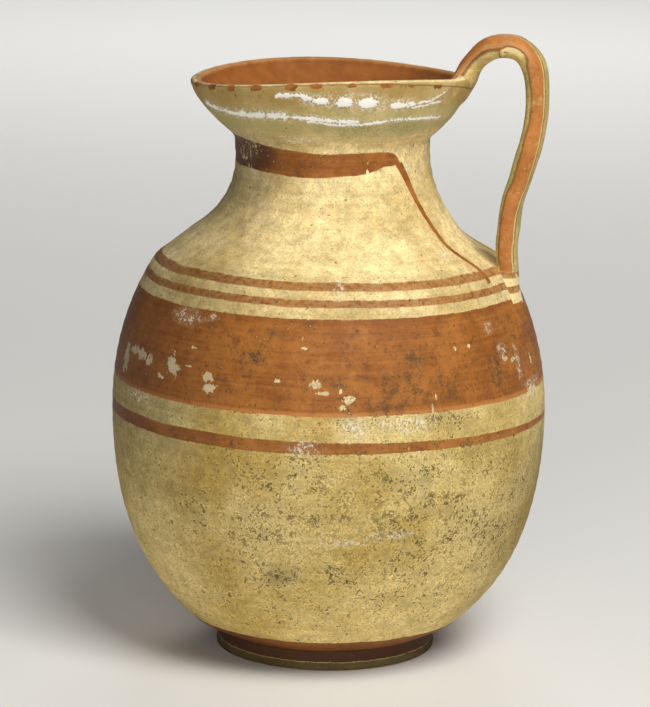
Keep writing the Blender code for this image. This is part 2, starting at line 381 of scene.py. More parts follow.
def inside_line(wall, outside):
    """The inner side from the lip to the floor's middle: the outer side moved in by the wall.

    Each point moves square to the line. Points that come nearer to the outer side than the
    wall, where the offset folds over itself, are dropped.
    """
    inner = outside + line_frame(outside)[1] * wall.wall
    gap = np.linalg.norm(inner[:, None, :] - outside[None, :, :], axis=2).min(axis=1)
    top = levels(wall)[-1] - wall.lip_inner_rounding
    keep = (gap > wall.wall * KEPT_WALL) & (inner[:, 1] > wall.floor + wall.floor_round)
    inner = inner[keep & (inner[:, 1] < top) & (outside[:, 1] > wall.foot_height)][::-1]
    low = inner[-1]
    slide = low - inner[-END_POINTS]
    floor_edge = low + slide * (low[1] - wall.floor) / -slide[1]
    floor = bezier(low, floor_edge, (low[0] * 0.5, wall.floor), (0.0, wall.floor), FLOOR_POINTS)
    return np.vstack((inner, floor[1:]))


def wall_line(wall):
    """The whole outline, foot's middle to floor's middle, and how far each point is from the
    lip's crest along it: positive outside, negative inside."""
    lip_z = levels(wall)[-1]
    outside = outside_line(wall)
    inside = inside_line(wall, outside)
    outer, inner = wall.lip_outer_rounding, wall.lip_inner_rounding
    crest = np.vstack((
        arc((outside[-1, 0] - outer, lip_z - outer), outer, 0.0, 90.0),
        arc((inside[0, 0] + inner, lip_z - inner), inner, 90.0, 180.0)))
    line = even(np.vstack((outside, crest[1:], inside[1:])), LINE_STEP)
    line = softened(line, LINE_STEP, CREST_REACH)
    line[0, 0] = line[-1, 0] = 0.0
    line[:, 1] = np.maximum(line[:, 1], 0.0)
    runs = run_of(line)
    middle = np.array((outside[-1, 0] - outer, lip_z))
    crest_run = runs[np.linalg.norm(line - middle, axis=1).argmin()]
    return line, crest_run - runs


def row_runs(line, from_lip):
    """Where the grid's rows lie: close at lip and foot, wide inside, by summed 1 / spacing."""
    outside, height = from_lip > 0, line[:, 1]
    rules = [np.abs(from_lip) < LIP_ROWS, outside & (height < UNDER_ROWS),
             outside & (height < FOOT_ROWS), outside, from_lip > -MOUTH_ROWS]
    spacing = np.select(rules, list(ROW_SPACING[:-1]), ROW_SPACING[-1])
    spacing = softened(spacing[:, None], LINE_STEP, SPACING_REACH)[:, 0]
    rows = np.concatenate(([0.0], np.cumsum(LINE_STEP / spacing[1:])))
    return np.interp(np.arange(1, int(rows[-1])), rows, run_of(line))


def mesh_of(name, points, quads, triangles, slots, materials):
    """A mesh from arrays of points and faces, with a material slot for each face."""
    mesh = bpy.data.meshes.new(name)
    mesh.from_pydata(points, [], quads.tolist() + triangles.tolist())
    for material in materials:
        mesh.materials.append(material)
    mesh.polygons.foreach_set("material_index", slots)
    mesh.update()
    return mesh


def tube_faces(rows, sides):
    """Quads between neighbouring rows of a closed tube, and the fans at its two end points."""
    row, side = np.meshgrid(np.arange(rows - 1), np.arange(sides), indexing="ij")
    after = (side + 1) % sides
    quads = np.stack((row * sides + side, row * sides + after,
                      (row + 1) * sides + after, (row + 1) * sides + side), axis=-1)
    ring = np.arange(sides)
    first, last = rows * sides, rows * sides + 1
    low = np.column_stack((np.full(sides, first), (ring + 1) % sides, ring))
    top = (rows - 1) * sides
    high = np.column_stack((np.full(sides, last), top + ring, top + (ring + 1) % sides))
    return quads.reshape(-1, 4), np.vstack((low, high))


def wall_mesh(wall, materials):
    """The wall: point (r cos a, r sin a, z) for each row's (r, z) and each turn's angle a."""
    line, from_lip = wall_line(wall)
    rows = at_run(line, row_runs(line, from_lip))
    turn = np.linspace(0.0, 2 * np.pi, wall.turns, endpoint=False)
    points = np.stack((np.outer(rows[:, 0], np.cos(turn)), np.outer(rows[:, 0], np.sin(turn)),
                       np.repeat(rows[:, 1:], wall.turns, axis=1)), axis=-1).reshape(-1, 3)
    ends = np.array([(0.0, 0.0, line[0, 1]), (0.0, 0.0, line[-1, 1])])
    quads, fans = tube_faces(len(rows), wall.turns)
    under = rows[:-1, 1] < UNDERSIDE_HEIGHT
    slots = np.concatenate((np.repeat(np.where(under & (rows[:-1, 0] < wall.foot_radius), 2, 0),
                                      wall.turns),
                            np.full(wall.turns, 2), np.zeros(wall.turns, dtype=int)))
    return mesh_of("wall", np.vstack((points, ends)), quads, fans, slots, materials)


# Points in each span of the strap's path, and its thickness and width at the spans' ends, as
# shares of the full sizes.
SPAN_POINTS = 79
THICKNESS_SHARES = (0.33, 0.92, 1.03, 0.945, 0.93, 0.70)
WIDTH_SHARES = (0.86, 0.96, 1.03, 1.0, 0.96, 0.90)
# Reach over which the thickness changes, and how deep the ends lie in the wall, as shares of it.
SHARE_REACH, LIP_END_SINK, ROOT_SINK = 0.004, 0.5, 0.55


def strap_line(wall, strap):
    """The strap's centre line in the XZ plane with its half thickness and half width.

    Five Bezier spans join six anchors: in the wall under the lip, over the lip, at the arch,
    at the far side, at the lower bend and in the belly's wall. Thickness is interpolated
    between shares at the anchors; the width grows by a spread that fades from each end.
    """
    _, shoulder_z, _, cup_z, lip_z = levels(wall)
    outside = outside_line(wall)
    cup = outside[outside[:, 1] > cup_z]
    start_z = lip_z - strap.lip_end_depth
    start = np.array((np.interp(start_z, cup[:, 1], cup[:, 0]) - wall.wall * LIP_END_SINK, start_z))
    spring = np.array((wall.lip_radius - strap.spring_inside_lip, lip_z + strap.spring_above_lip))
    arch = np.array((wall.lip_radius + strap.arch_beyond_lip, JUG_HIGH.z - strap.thickness / 2))
    far = np.array((wall.lip_radius + strap.reach_beyond_lip, lip_z - strap.reach_below_lip))
    elbow = np.array((belly_radius(wall, shoulder_z) + strap.elbow_beyond_shoulder,
                      shoulder_z + strap.elbow_above_shoulder))
    root_z = shoulder_z - strap.root_depth
    root = np.array((belly_radius(wall, root_z) - wall.wall * ROOT_SINK, root_z))
    rise, climb, drop, sink = (abs(b[1] - a[1]) * strap.pull_share for a, b in (
        (start, spring), (spring, arch), (far, elbow), (elbow, root)))
    level = np.array((strap.arch_pull, 0.0))
    spring_lean, elbow_lean = strap.spring_slope, strap.elbow_slope
    spans = (
        (start, start + lean(strap.lip_end_slope, rise), spring - lean(spring_lean, rise), spring),
        (spring, spring + lean(spring_lean, climb), arch - level, arch),
        (arch, arch + level, far + lean(0.0, strap.reach_pull), far),
        (far, far - lean(0.0, drop), elbow + lean(elbow_lean, drop), elbow),
        (elbow, elbow - lean(elbow_lean, sink), root + lean(strap.root_slope, sink), root),
    )
    path = np.vstack([bezier(*span, SPAN_POINTS + 1)[:-1] for span in spans] + [root[None, :]])
    runs = run_of(path)
    anchors = runs[::SPAN_POINTS]
    even_runs = np.linspace(0.0, runs[-1], 4 * strap.rings)
    path = at_run(path, even_runs)
    thick = np.interp(even_runs, anchors, THICKNESS_SHARES)
    thick = softened(thick[:, None], even_runs[1], SHARE_REACH)[:, 0]
    wide = np.interp(even_runs, anchors, WIDTH_SHARES)
    wide += strap.lip_spread * (1.0 - smooth_step(even_runs, 0.0, strap.lip_spread_length))
    left = runs[-1] - even_runs
    wide += strap.root_spread * (1.0 - smooth_step(left, 0.0, strap.root_spread_length))
    return path, thick * strap.thickness / 2, wide * strap.width / 2, even_runs - anchors[2]


def strap_mesh(wall, strap, materials):
    """The strap: a rounded section |n/a|^p + |y/b|^p = 1 carried along its centre line."""
    path, half_thick, half_wide, _ = strap_line(wall, strap)
    _, out = line_frame(path)
    pick = np.linspace(0, len(path) - 1, strap.rings).round().astype(int)
    path, out, half_thick, half_wide = path[pick], out[pick], half_thick[pick], half_wide[pick]
    turn = np.linspace(0.0, 2 * np.pi, strap.sides, endpoint=False)
    power = 2.0 / strap.squareness
    across = np.sign(np.cos(turn)) * np.abs(np.cos(turn)) ** power
    up = np.sign(np.sin(turn)) * np.abs(np.sin(turn)) ** power
    x = path[:, :1] + out[:, :1] * np.outer(half_thick, up)
    z = path[:, 1:] + out[:, 1:] * np.outer(half_thick, up)
    y = np.outer(half_wide, across)
    points = np.stack((x, y, z), axis=-1).reshape(-1, 3)
    ends = np.array([(path[0, 0], 0.0, path[0, 1]), (path[-1, 0], 0.0, path[-1, 1])])
    quads, fans = tube_faces(strap.rings, strap.sides)
    slots = np.ones(len(quads) + len(fans), dtype=int)
    return mesh_of("strap", np.vstack((points, ends)), quads[:, ::-1], fans[:, ::-1], slots, materials)


def joined(name, first, second):
    """One mesh from two closed meshes, joined by an exact union."""
    scene = bpy.context.scene
    solids = [bpy.data.objects.new(mesh.name, mesh) for mesh in (first, second)]
    for solid in solids:
        scene.collection.objects.link(solid)
    union = solids[0].modifiers.new("join", "BOOLEAN")
    union.operation = "UNION"
    union.solver = "EXACT"
    union.object = solids[1]
    bpy.context.view_layer.update()
    evaluated = solids[0].evaluated_get(bpy.context.evaluated_depsgraph_get())
    mesh = bpy.data.meshes.new_from_object(evaluated)
    mesh.name = name
    for solid in solids:
        bpy.data.objects.remove(solid)
    for spare in (first, second):
        bpy.data.meshes.remove(spare)
    return mesh


# A gauge keeps every third point of its outline and measures this many points at a time.
GAUGE_SKIP, GAUGE_BATCH = 3, 8000


class WallGauge:
    """Signed distance from the wall's clay: nearest point of its outline, side by its normal."""

    def __init__(self, wall):
        line, from_lip = wall_line(wall)
        self.line, self.from_lip = line[::GAUGE_SKIP], from_lip[::GAUGE_SKIP]
        self.out = -line_frame(self.line)[1]

    def measure(self, points):
        """Distance from the clay, negative inside it, and place from the lip's crest."""
        flat = np.column_stack((np.hypot(points[:, 0], points[:, 1]), points[:, 2]))
        distance, place = np.empty(len(flat)), np.empty(len(flat))
        for start in range(0, len(flat), GAUGE_BATCH):
            part = slice(start, start + GAUGE_BATCH)
            away = flat[part, None, :] - self.line[None, :, :]
            near = np.einsum("ijk,ijk->ij", away, away).argmin(axis=1)
            step = away[np.arange(len(near)), near]
            off = (step * self.out[near]).sum(axis=1)
            slide = step[:, 0] * -self.out[near, 1] + step[:, 1] * self.out[near, 0]
            distance[part], place[part] = off, self.from_lip[near] - slide
        return distance, place


class StrapGauge:
    """Signed distance from the strap: (f - 1) / |grad f| with f its rounded section's power sum."""

    def __init__(self, wall, strap):
        self.path, self.thick, self.wide, self.run = strap_line(wall, strap)
        self.along, self.out = line_frame(self.path)
        self.power = strap.squareness

    def measure(self, points):
        """Distance, run along the strap from the arch, and turn from inner to outer side."""
        flat = points[:, [0, 2]]
        away = flat[:, None, :] - self.path[None, :, :]
        near = np.einsum("ijk,ijk->ij", away, away).argmin(axis=1)
        step = flat - self.path[near]
        slide = (step * self.along[near]).sum(axis=1)
        lift = (step * self.out[near]).sum(axis=1)
        past = ((near == 0) & (slide < 0)) | ((near == len(self.path) - 1) & (slide > 0))
        lift = np.where(past, np.hypot(lift, slide), lift)
        up, across = np.abs(lift) / self.thick[near], np.abs(points[:, 1]) / self.wide[near]
        total = np.maximum((up ** self.power + across ** self.power) ** (1 / self.power), 1e-6)
        pull = np.hypot((up / total) ** (self.power - 1) / self.thick[near],
                        (across / total) ** (self.power - 1) / self.wide[near])
        turn = np.degrees(np.arctan2(lift / self.thick[near], across + 1e-9))
        return (total - 1.0) / pull, self.run[near] + slide, turn


# Where the joints are: past this x, within this y to each side and above this z; and the
# heights between which the root's fillet passes over into the lip's.
JOINT_BOX = (0.040, 0.032, 0.148)
FILLET_CHANGE = (0.236, 0.254)
# Rounds of smoothing, the share moved in each, steps back to the surface, the longest of them,
# the step over which a gradient is taken, and the least squared gradient that a step counts on.
SMEAR_ROUNDS, SMEAR_SHARE, SMEAR_STEPS, SMEAR_REACH, TINY, LEAST_TILT = 7, 0.45, 3, 0.0012, 2e-5, 0.05


def smear_joints(mesh, wall_gauge, strap_gauge, strap):
    """Rounds both joints: points near them move onto the smooth union of wall and strap.

    The smooth union's distance is min(a, b) - h^2 k / 4 with h = max(k - |a - b|, 0) / k, for
    distances a and b and reach k. Points slide towards the mean of their neighbours and
    step back onto the surface, along the distance's own gradient, a few times over.
    """
    points = read_points(mesh)
    ends = np.zeros((len(mesh.edges), 2), dtype=int)
    mesh.edges.foreach_get("vertices", ends.ravel())
    x, y, z = points.T
    box = (x > JOINT_BOX[0]) & (np.abs(y) < JOINT_BOX[1]) & (z > JOINT_BOX[2])

    def distance(spots):
        a, b = wall_gauge.measure(spots)[0], strap_gauge.measure(spots)[0]
        at_lip = smooth_step(spots[:, 2], *FILLET_CHANGE)
        reach = strap.fillet + (strap.lip_fillet - strap.fillet) * at_lip
        h = np.maximum(reach - np.abs(a - b), 0.0) / reach
        return np.minimum(a, b) - h * h * reach / 4, np.maximum(a, b) - reach

    index = np.flatnonzero(box)
    near = index[distance(points[index])[1] < 0.0]
    member = np.zeros(len(points), dtype=bool)
    member[near] = True
    links = ends[member[ends].any(axis=1)]
    for turn in range(SMEAR_ROUNDS):
        total, number = np.zeros_like(points), np.zeros(len(points))
        for a, b in ((0, 1), (1, 0)):
            np.add.at(total, links[:, a], points[links[:, b]])
            np.add.at(number, links[:, a], 1.0)
        if turn > 0:
            mean = total[near] / number[near, None]
            points[near] += SMEAR_SHARE * (mean - points[near])
        for _ in range(SMEAR_STEPS):
            spots = points[near]
            here = distance(spots)[0]
            tilt = np.stack([(distance(spots + step)[0] - here) / TINY
                             for step in np.eye(3) * TINY], axis=1)
            size = np.maximum((tilt ** 2).sum(axis=1), LEAST_TILT)
            points[near] = spots - np.clip(here / size, -SMEAR_REACH, SMEAR_REACH)[:, None] * tilt
    return points


def read_points(mesh):
    """The mesh's points as an array."""
    points = np.empty(len(mesh.vertices) * 3)
    mesh.vertices.foreach_get("co", points)
    return points.reshape(-1, 3)


def store(mesh, name, values):
    """Keeps a value or a vector for each point under a name that materials can read."""
    kind, key = ("FLOAT", "value") if values.ndim == 1 else ("FLOAT_VECTOR", "vector")
    layer = mesh.attributes.new(name, kind, "POINT")
    layer.data.foreach_set(key, values.astype(np.float32).ravel())


def spot_field(angle, height, radius, spots):
    """1 in a spot's middle, 0 on its edge: 1 - sqrt((arc/w)^2 + (rise/h)^2), the largest of all."""
    field = np.full(len(angle), -2.0)
    for middle, level, wide, tall in spots:
        arc_length = np.radians((angle - middle + 180.0) % 360.0 - 180.0) * radius
        field = np.maximum(field, 1.0 - np.hypot(arc_length / wide, (height - level) / tall))
    return field


def line_field(angle, height, line, half):
    """1 on a line drawn as heights over angles, 0 at half its width; -9 past its ends."""
    angles, heights = np.array(line).T
    field = 1.0 - np.abs(height - np.interp(angle, angles, heights)) / half
    return np.where((angle > angles[0]) & (angle < angles[-1]), field, -9.0)


def millimetres(*rows):
    """Rows of an angle and lengths in millimetres, with the lengths turned to metres."""
    return tuple((row[0], *(part / 1000 for part in row[1:])) for row in rows)


# Marks on the wall, as (angle, height, half width, half height), lengths in millimetres.
LIME_BLOBS = millimetres(
    (-77.7, 252.1, 3.8, 1.5), (-68.6, 251.3, 3.5, 2), (-58.7, 250.9, 4.8, 1.8),
    (-45.6, 249.8, 4.4, 1.2), (-84, 253, 1.6, 0.7), (-39, 250.4, 1.6, 0.7))
PAINT_CHIPS = millimetres(
    (-143.6, 137.7, 3, 6.2), (-138.5, 142.8, 3.8, 1.7), (-133.6, 141.8, 3.8, 2.2),
    (-129.5, 140.5, 2.2, 2.6), (-119.4, 142, 2.4, 4.6), (-117.6, 140.2, 2.6, 2.6),
    (-122.7, 135.6, 1.9, 1.5), (-113, 142.5, 2.2, 0.4), (-106.2, 139.3, 2.4, 2),
    (-105.5, 135, 3.6, 1.9), (-86.7, 140.7, 1.4, 1.3), (-112.8, 150.5, 1.5, 0.7),
    (-79.9, 154.6, 1.2, 0.6), (-76.4, 140.2, 2.1, 1.7), (-74.6, 136.4, 2.6, 1),
    (-69.9, 137.2, 0.7, 1.1), (-67.8, 133.5, 2.2, 2.1), (-69.4, 130.3, 1.2, 1.6), (-18, 144.2, 2, 1.2),
    (-14, 142.5, 2.2, 1.1), (-44.2, 133.2, 0.4, 3), (-45.3, 128.2, 0.4, 2.6), (-124.7, 220.3, 1, 1.2),
    (-53.2, 222.6, 0.5, 1.8), (-2.5, 139.2, 0.9, 3.4), (-5, 126.4, 5.2, 2.2), (-31.6, 152.4, 0.8, 1.1),
    (-36.5, 152.2, 0.7, 0.8), (58, 138, 4, 2.4), (63.5, 135.2, 2.2, 1.6), (104, 156, 1.8, 1.4),
    (141, 131, 5, 2), (150, 145, 2, 3), (-165, 133, 2.4, 2))
# The first two stains darken the mouth's inside towards the back right: painted shade.
PAINT_STAINS_AND_MOUTH_SHADE = millimetres(
    (46, 247, 30, 12), (62, 244, 24, 10), (-50, 150, 8.5, 5.5), (-53.5, 138.5, 12.5, 7),
    (-39.9, 136.7, 7.5, 6), (-71.1, 140.8, 4, 2.6), (-90.6, 148.1, 3.6, 3.2), (-88.1, 160.2, 3.4, 2.6),
    (-94, 150, 7, 6), (-23, 141.5, 7.5, 8), (-58, 131, 11, 4), (88, 144, 11, 8), (160, 150, 10, 6))
HAZE_SPOTS = millimetres(
    (-118, 162.2, 8.5, 3), (-108.7, 163.7, 3.4, 1.5), (-18.5, 148, 3.4, 3.4), (-11.4, 141, 2.2, 8),
    (-22, 158, 3, 2.4), (-68, 70.5, 11, 1.8), (-56, 74, 12, 2), (-66.6, 121, 7.2, 5.2),
    (-58, 123, 3.6, 2.6), (-79, 113, 7, 3.8), (-70.2, 178.2, 2.4, 4), (-52, 122.2, 10, 3.6),
    (-22, 187, 5, 2.6), (-25.6, 224.2, 2, 2.8), (-133, 124, 11, 2.6), (-90, 237, 10, 2),
    (-4, 130, 10, 2.2), (120, 120, 12, 4), (170, 165, 9, 3))
SOIL_SPOTS = millimetres(
    (-62, 76, 95, 48), (-84.7, 53.8, 11, 7.5), (-47.5, 96.6, 4.5, 11), (-64, 98, 50, 10),
    (-45, 123, 30, 5), (-62, 124.5, 20, 4), (-66, 64, 42, 10), (-30, 72, 48, 42), (150, 70, 70, 30))
MOSS_SPOTS = millimetres(
    (-84.7, 53.8, 9.5, 6.2), (-47.5, 96.6, 3.2, 9.5), (-52, 240.8, 30, 4.4), (-118, 108, 5, 3),
    (95, 56, 12, 6))
PLASTER_SPOTS = millimetres(
    (1, 165.5, 3.4, 3.4), (4.2, 162.2, 2.2, 3))
SCUFF_SPOTS = millimetres(
    (-134, 228.5, 20, 9.5))
# Nicks in the lip, as (angle, place from its crest, half width, half length).
LIP_NICKS = millimetres(
    (-149, 0.6, 2.2, 1.4), (-137, 0.4, 1.6, 1.2), (-98, 0.6, 1.8, 1.2), (-72, 0.2, 2, 1),
    (-33, 0.4, 2.4, 1.2), (40, 0.6, 2.6, 1.6), (95, 0.3, 1.8, 1.2), (128, 0.5, 3, 1.6),
    (172, 0.2, 2, 1.2))
# Dabs of paint over the lip, as (angle, half width, half length), and how far both shrank.
DAB_SHRINK = (0.92, 0.72)
LIP_DABS = millimetres(
    (-158, 3, 2.2), (-144, 3.2, 2.4), (-129.3, 3.1, 2.3), (-117.2, 3, 2.4), (-104.7, 3, 2.3),
    (-89.5, 3.4, 2.4), (-79.5, 3, 1.8), (-66, 2.7, 1.3), (-52.1, 3.2, 1.6), (-41.1, 2.4, 1.1),
    (-26.9, 2.8, 1.4), (22, 2.8, 1.6), (35, 3, 2), (49, 2.6, 1.8), (61, 3, 2.2), (75, 2.8, 1.8),
    (88, 3.1, 2.2), (101, 2.7, 2), (115, 3, 2.2), (128, 2.9, 1.8), (141, 3.1, 2.2), (153, 2.7, 2),
    (167, 3, 2.2), (179, 2.8, 2))
# Runs of lime round the cup, as ((angle, height), ...) and half width.
LIME_RUNS = (
    (((-98, 0.254), (-93, 0.2547), (-88, 0.2546), (-83, 0.2535), (-80, 0.2526)), 0.00080),
    (((-146, 0.2512), (-133, 0.2487), (-126, 0.2477), (-118, 0.2471), (-106, 0.2469), (-96, 0.2466),
      (-86, 0.2462)), 0.00120),
    (((-100, 0.2468), (-84, 0.246), (-76, 0.2452), (-66, 0.2447), (-58, 0.2449)), 0.00065),
    (((-92, 0.2456), (-80, 0.2444), (-66, 0.2436), (-52, 0.2441), (-36, 0.2448), (-22, 0.2446),
      (-8, 0.244)), 0.00050),
    (((-44, 0.2493), (-38, 0.2499), (-33, 0.2506), (-28, 0.2513), (-23, 0.2534),
      (-18, 0.2562)), 0.00045),
    (((-40, 0.2488), (-34, 0.249), (-28, 0.2501), (-24, 0.2503), (-19, 0.2528)), 0.00035),
    (((96, 0.2462), (112, 0.2474), (131, 0.2468), (150, 0.2478)), 0.00080),
)
# How bright the slip is over the height; its rise towards the foot is painted light, as if bounced up
# from the floor.
SLIP_BRIGHTNESS_AND_BOUNCE = (
    (0, 1), (0.045, 0.97), (0.08, 0.85), (0.13, 0.81), (0.168, 0.92), (0.18, 0.97), (0.19, 1.09),
    (0.205, 1.05), (0.22, 0.98), (0.262, 0.98))
# The dark line under the lip: its place from the crest over the angle.
LIP_DARK_LINE = (
    (-180, 0.0016), (-110, 0.0018), (-73, 0.002), (-45, 0.0028), (-20, 0.0038), (0, 0.0044),
    (30, 0.003), (180, 0.0016))
# The crack round the handle's root, as heights over angles, and half the width of its fill.
ROOT_CRACK = (
    (-3.4, 0.1782), (-1.3, 0.1751), (0.8, 0.1719), (2.4, 0.1682), (3.8, 0.1655), (6, 0.1636),
    (10, 0.163))
FILL_HALF_WIDTH = 0.00115
# The neck's swag: its upper and lower edge over the angle, its tail's angle and half width
# over the height, the tail's end, and the middle of the gap that it leaves at the handle.
SWAG_TOP = (
    (0, 0.2262), (30, 0.2262), (32.5, 0.2284), (35, 0.2299), (38, 0.2309), (42, 0.2313), (49, 0.2315),
    (64, 0.2313), (77, 0.2309), (92, 0.2315), (108, 0.2324), (130, 0.2342), (150, 0.2356), (180, 0.236))
SWAG_LOW = (
    (0, 0.2252), (38, 0.225), (48, 0.2233), (59, 0.2214), (70, 0.221), (92, 0.2201), (108, 0.2208),
    (123, 0.2212), (150, 0.2219), (180, 0.2222))
SWAG_TAIL = (
    (0.174, 13.6), (0.1793, 12.8), (0.183, 13.1), (0.1881, 15.2), (0.195, 17.2), (0.2032, 19.8),
    (0.2138, 24.2), (0.22, 27.6), (0.225, 31.4), (0.2295, 36.6), (0.233, 41))
SWAG_REACH = (
    (0.174, 1.05), (0.2, 1.55), (0.2138, 2.1), (0.222, 2.8), (0.233, 3.4))
SWAG_END, SWAG_MIDDLE = 0.1748, 9.0
# The handle's stripe: the turn of its lower and upper edge over the run from the arch.
STRIPE_LOW = (
    (-0.04, -8), (-0.022, -8), (-0.01, -5), (-0.001, -6), (0.004, 8), (0.01, 10), (0.016, -8),
    (0.022, -13), (0.035, -11), (0.06, -17), (0.085, -26), (0.13, -28))
STRIPE_HIGH = (
    (-0.04, 89), (-0.004, 89), (0.006, 80), (0.014, 64), (0.022, 53), (0.035, 50), (0.06, 56),
    (0.085, 45), (0.13, 42))
# Share of a run's length over which each of its ends fades.
RUN_TAPER = 0.10
# Waves to the metre of the wire's cuts under the foot, times two pi.
WIRE_PACE = 2 * math.pi / 0.0026


def lime_field(angle, height, radius):
    """Where the lime lies: the largest of its blobs and runs."""
    field = spot_field(angle, height, radius, LIME_BLOBS)
    for line, half in LIME_RUNS:
        field = np.maximum(field, line_field(angle, height, line, half))
    return field


# The rim's warp in steps of rim_level: its mean, then the cosine and sine of once and twice the
# angle from the picture's right.
RIM_WARP = (3.98, 1.93, -4.64, -3.96, -2.53)
# Height of one throwing ring inside and outside.
RING_PITCH = (0.0080, 0.0062)


def settle(points, wall, faults, on_wall, from_lip, strap_near):
    """The small faults, as shifts of the finished shape.

    The rim warps by a few cosines of the angle round it, and the strap's arch stays where it
    is. The cup is pressed in by bells of angle and height. The shoulder swells by a bell in
    height times the cosine of the angle from the picture's right, and the neck shifts the
    same way. Throwing rings are a sine of height that climbs with the angle, and slow noise
    bends everything a little.
    """
    _, shoulder_z, neck_z, cup_z, lip_z = levels(wall)
    moved = points.copy()
    turn = np.arctan2(points[:, 1], points[:, 0])
    right = turn - math.radians(PICTURE_ANGLE)
    radius = np.hypot(points[:, 0], points[:, 1])
    height = points[:, 2]
    terms = (np.ones_like(right), np.cos(right), np.sin(right), np.cos(2 * right), np.sin(2 * right))
    warp = sum(size * term for size, term in zip(RIM_WARP, terms)) * faults.rim_level
    warp *= smooth_step(height, cup_z, lip_z) * smooth_step(radius, 0.020, 0.045)
    warp *= 1.0 - smooth_step(radius, wall.lip_radius + 0.004, wall.lip_radius + 0.014)
    moved[:, 2] += warp * (1.0 - smooth_step(height, lip_z + 0.003, lip_z + 0.016))
    swell = -faults.shoulder_swell * np.cos(right) * bell(height, shoulder_z + 0.0105, 0.0068)
    inside = from_lip < 0
    deep = np.where(inside, faults.ring_inside, faults.ring_outside)
    climb = height / np.where(inside, *RING_PITCH) + turn / (2 * np.pi)
    rings = deep * np.sin(2 * np.pi * climb) * (0.6 + 0.4 * waves(points, 0.060, SEED))
    rings *= smooth_step(height, wall.foot_height, wall.foot_height + 0.02) * on_wall
    rings *= 1.0 - 0.7 * smooth_step(height, cup_z, lip_z)
    wobble = faults.wobble * waves(points, 0.110, SEED + 1) * smooth_step(height, 0.008, 0.040)
    out = (swell + rings + wobble) * (1.0 - 0.8 * strap_near)
    flat = bell(height, lip_z - 0.0075, 0.0060) * bell(np.degrees(right), 0.0, 42.0)
    out -= faults.cup_flat * flat * (1.0 - smooth_step(radius, wall.lip_radius + 0.003,
                                                       wall.lip_radius + 0.007))
    scale = 1.0 + out / np.maximum(radius, 0.012) * smooth_step(radius, 0.004, 0.014)
    moved[:, :2] *= scale[:, None]
    shift = faults.neck_shift * bell(height, neck_z - 0.014, 0.016) * (1.0 - strap_near)
    moved[:, :2] += shift[:, None] * np.array(picture_place(1.0, 0.0, 0.0))[:2]
    bend = np.stack([waves(points, 0.022, SEED + 2 + axis, 18) for axis in range(3)], axis=1)
    moved += bend * faults.strap_wobble * strap_near[:, None]
    hollow = 0.0009 * (1.0 - smooth_step(radius, 0.0, wall.foot_radius - 0.004))
    moved[:, 2] += hollow * (height < 0.001)
    return moved


def raise_marks(mesh, points, angle, height, radius, from_lip, faults):
    """Lime stands proud and chips of the lip sit back, square to the surface."""
    normals = np.empty(len(mesh.vertices) * 3, dtype=np.float32)
    mesh.vertex_normals.foreach_get("vector", normals)
    normals = normals.reshape(-1, 3)
    outside = (from_lip > 0.0) & (height > 0.2)
    crust = smooth_step(lime_field(angle, height, radius), -0.2, 0.5) * outside
    crust *= 0.75 + 0.35 * waves(points, 0.0045, SEED + 9)
    nicks = spot_field(angle, from_lip, radius, LIP_NICKS)
    bite = 0.0006 * smooth_step(nicks, 0.0, 0.9) * (height > 0.2)
    return points + normals * (crust * faults.lime_height - bite)[:, None]


# Around the strap: past this x, within this y to each side and above this z.
STRAP_BOX = (0.030, 0.060, 0.140)


def make_jug(scene):
    """The whole jug as one mesh object, painted and standing on its foot."""
    wall, strap, faults = scene.jug_wall, scene.jug_strap, scene.jug_faults
    materials = jug_materials(scene)
    mesh = joined("painted_jug", wall_mesh(wall, materials), strap_mesh(wall, strap, materials))
    wall_gauge, strap_gauge = WallGauge(wall), StrapGauge(wall, strap)
    design = smear_joints(mesh, wall_gauge, strap_gauge, strap)
    off_wall, from_lip = wall_gauge.measure(design)
    x, y, height = design.T
    close = (x > STRAP_BOX[0]) & (np.abs(y) < STRAP_BOX[1]) & (height > STRAP_BOX[2])
    off_strap, run, turn = np.ones(len(design)), np.zeros(len(design)), np.zeros(len(design))
    off_strap[close], run[close], turn[close] = strap_gauge.measure(design[close])
    strap_near = 1.0 - smooth_step(off_strap, 0.0, 0.008)
    angle, radius = np.degrees(np.arctan2(y, x)), np.hypot(x, y)
    on_wall = 1.0 - smooth_step(np.abs(off_wall), 0.0003, 0.0012)
    points = settle(design, wall, faults, on_wall * (1.0 - strap_near), from_lip, strap_near)
    mesh.vertices.foreach_set("co", points.ravel())
    mesh.update()
    points = raise_marks(mesh, points, angle, height, radius, from_lip, faults)
    mesh.vertices.foreach_set("co", points.ravel())
    store(mesh, "design", design)
    store(mesh, "from_lip", from_lip)
    store(mesh, "strap", np.column_stack((run, turn, off_strap)))
    hang = np.array(LIP_DARK_LINE).T
    dabs = [(middle, np.interp(middle, *hang), wide * DAB_SHRINK[0], tall * DAB_SHRINK[1])
            for middle, wide, tall in LIP_DABS]
    store(mesh, "dabs", spot_field(angle, from_lip, radius, dabs))
    for name, spots in (("scuffs", SCUFF_SPOTS), ("stains_and_mouth_shade", PAINT_STAINS_AND_MOUTH_SHADE), ("haze", HAZE_SPOTS),
                        ("soil", SOIL_SPOTS), ("moss", MOSS_SPOTS)):
        store(mesh, name, spot_field(angle, height, radius, spots))
    mesh.shade_smooth()
    mesh.update()
    jug = bpy.data.objects.new("painted_jug", mesh)
    scene.collection.objects.link(jug)
    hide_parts("jug")
    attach(jug, "root")
    return jug


def operation(kind, words):
    """A method of the desk below that adds one kind of Math node to its values a, b, c."""
    def method(self, *values):
        return self.math(kind, *values)
    method.__doc__ = words
    return method


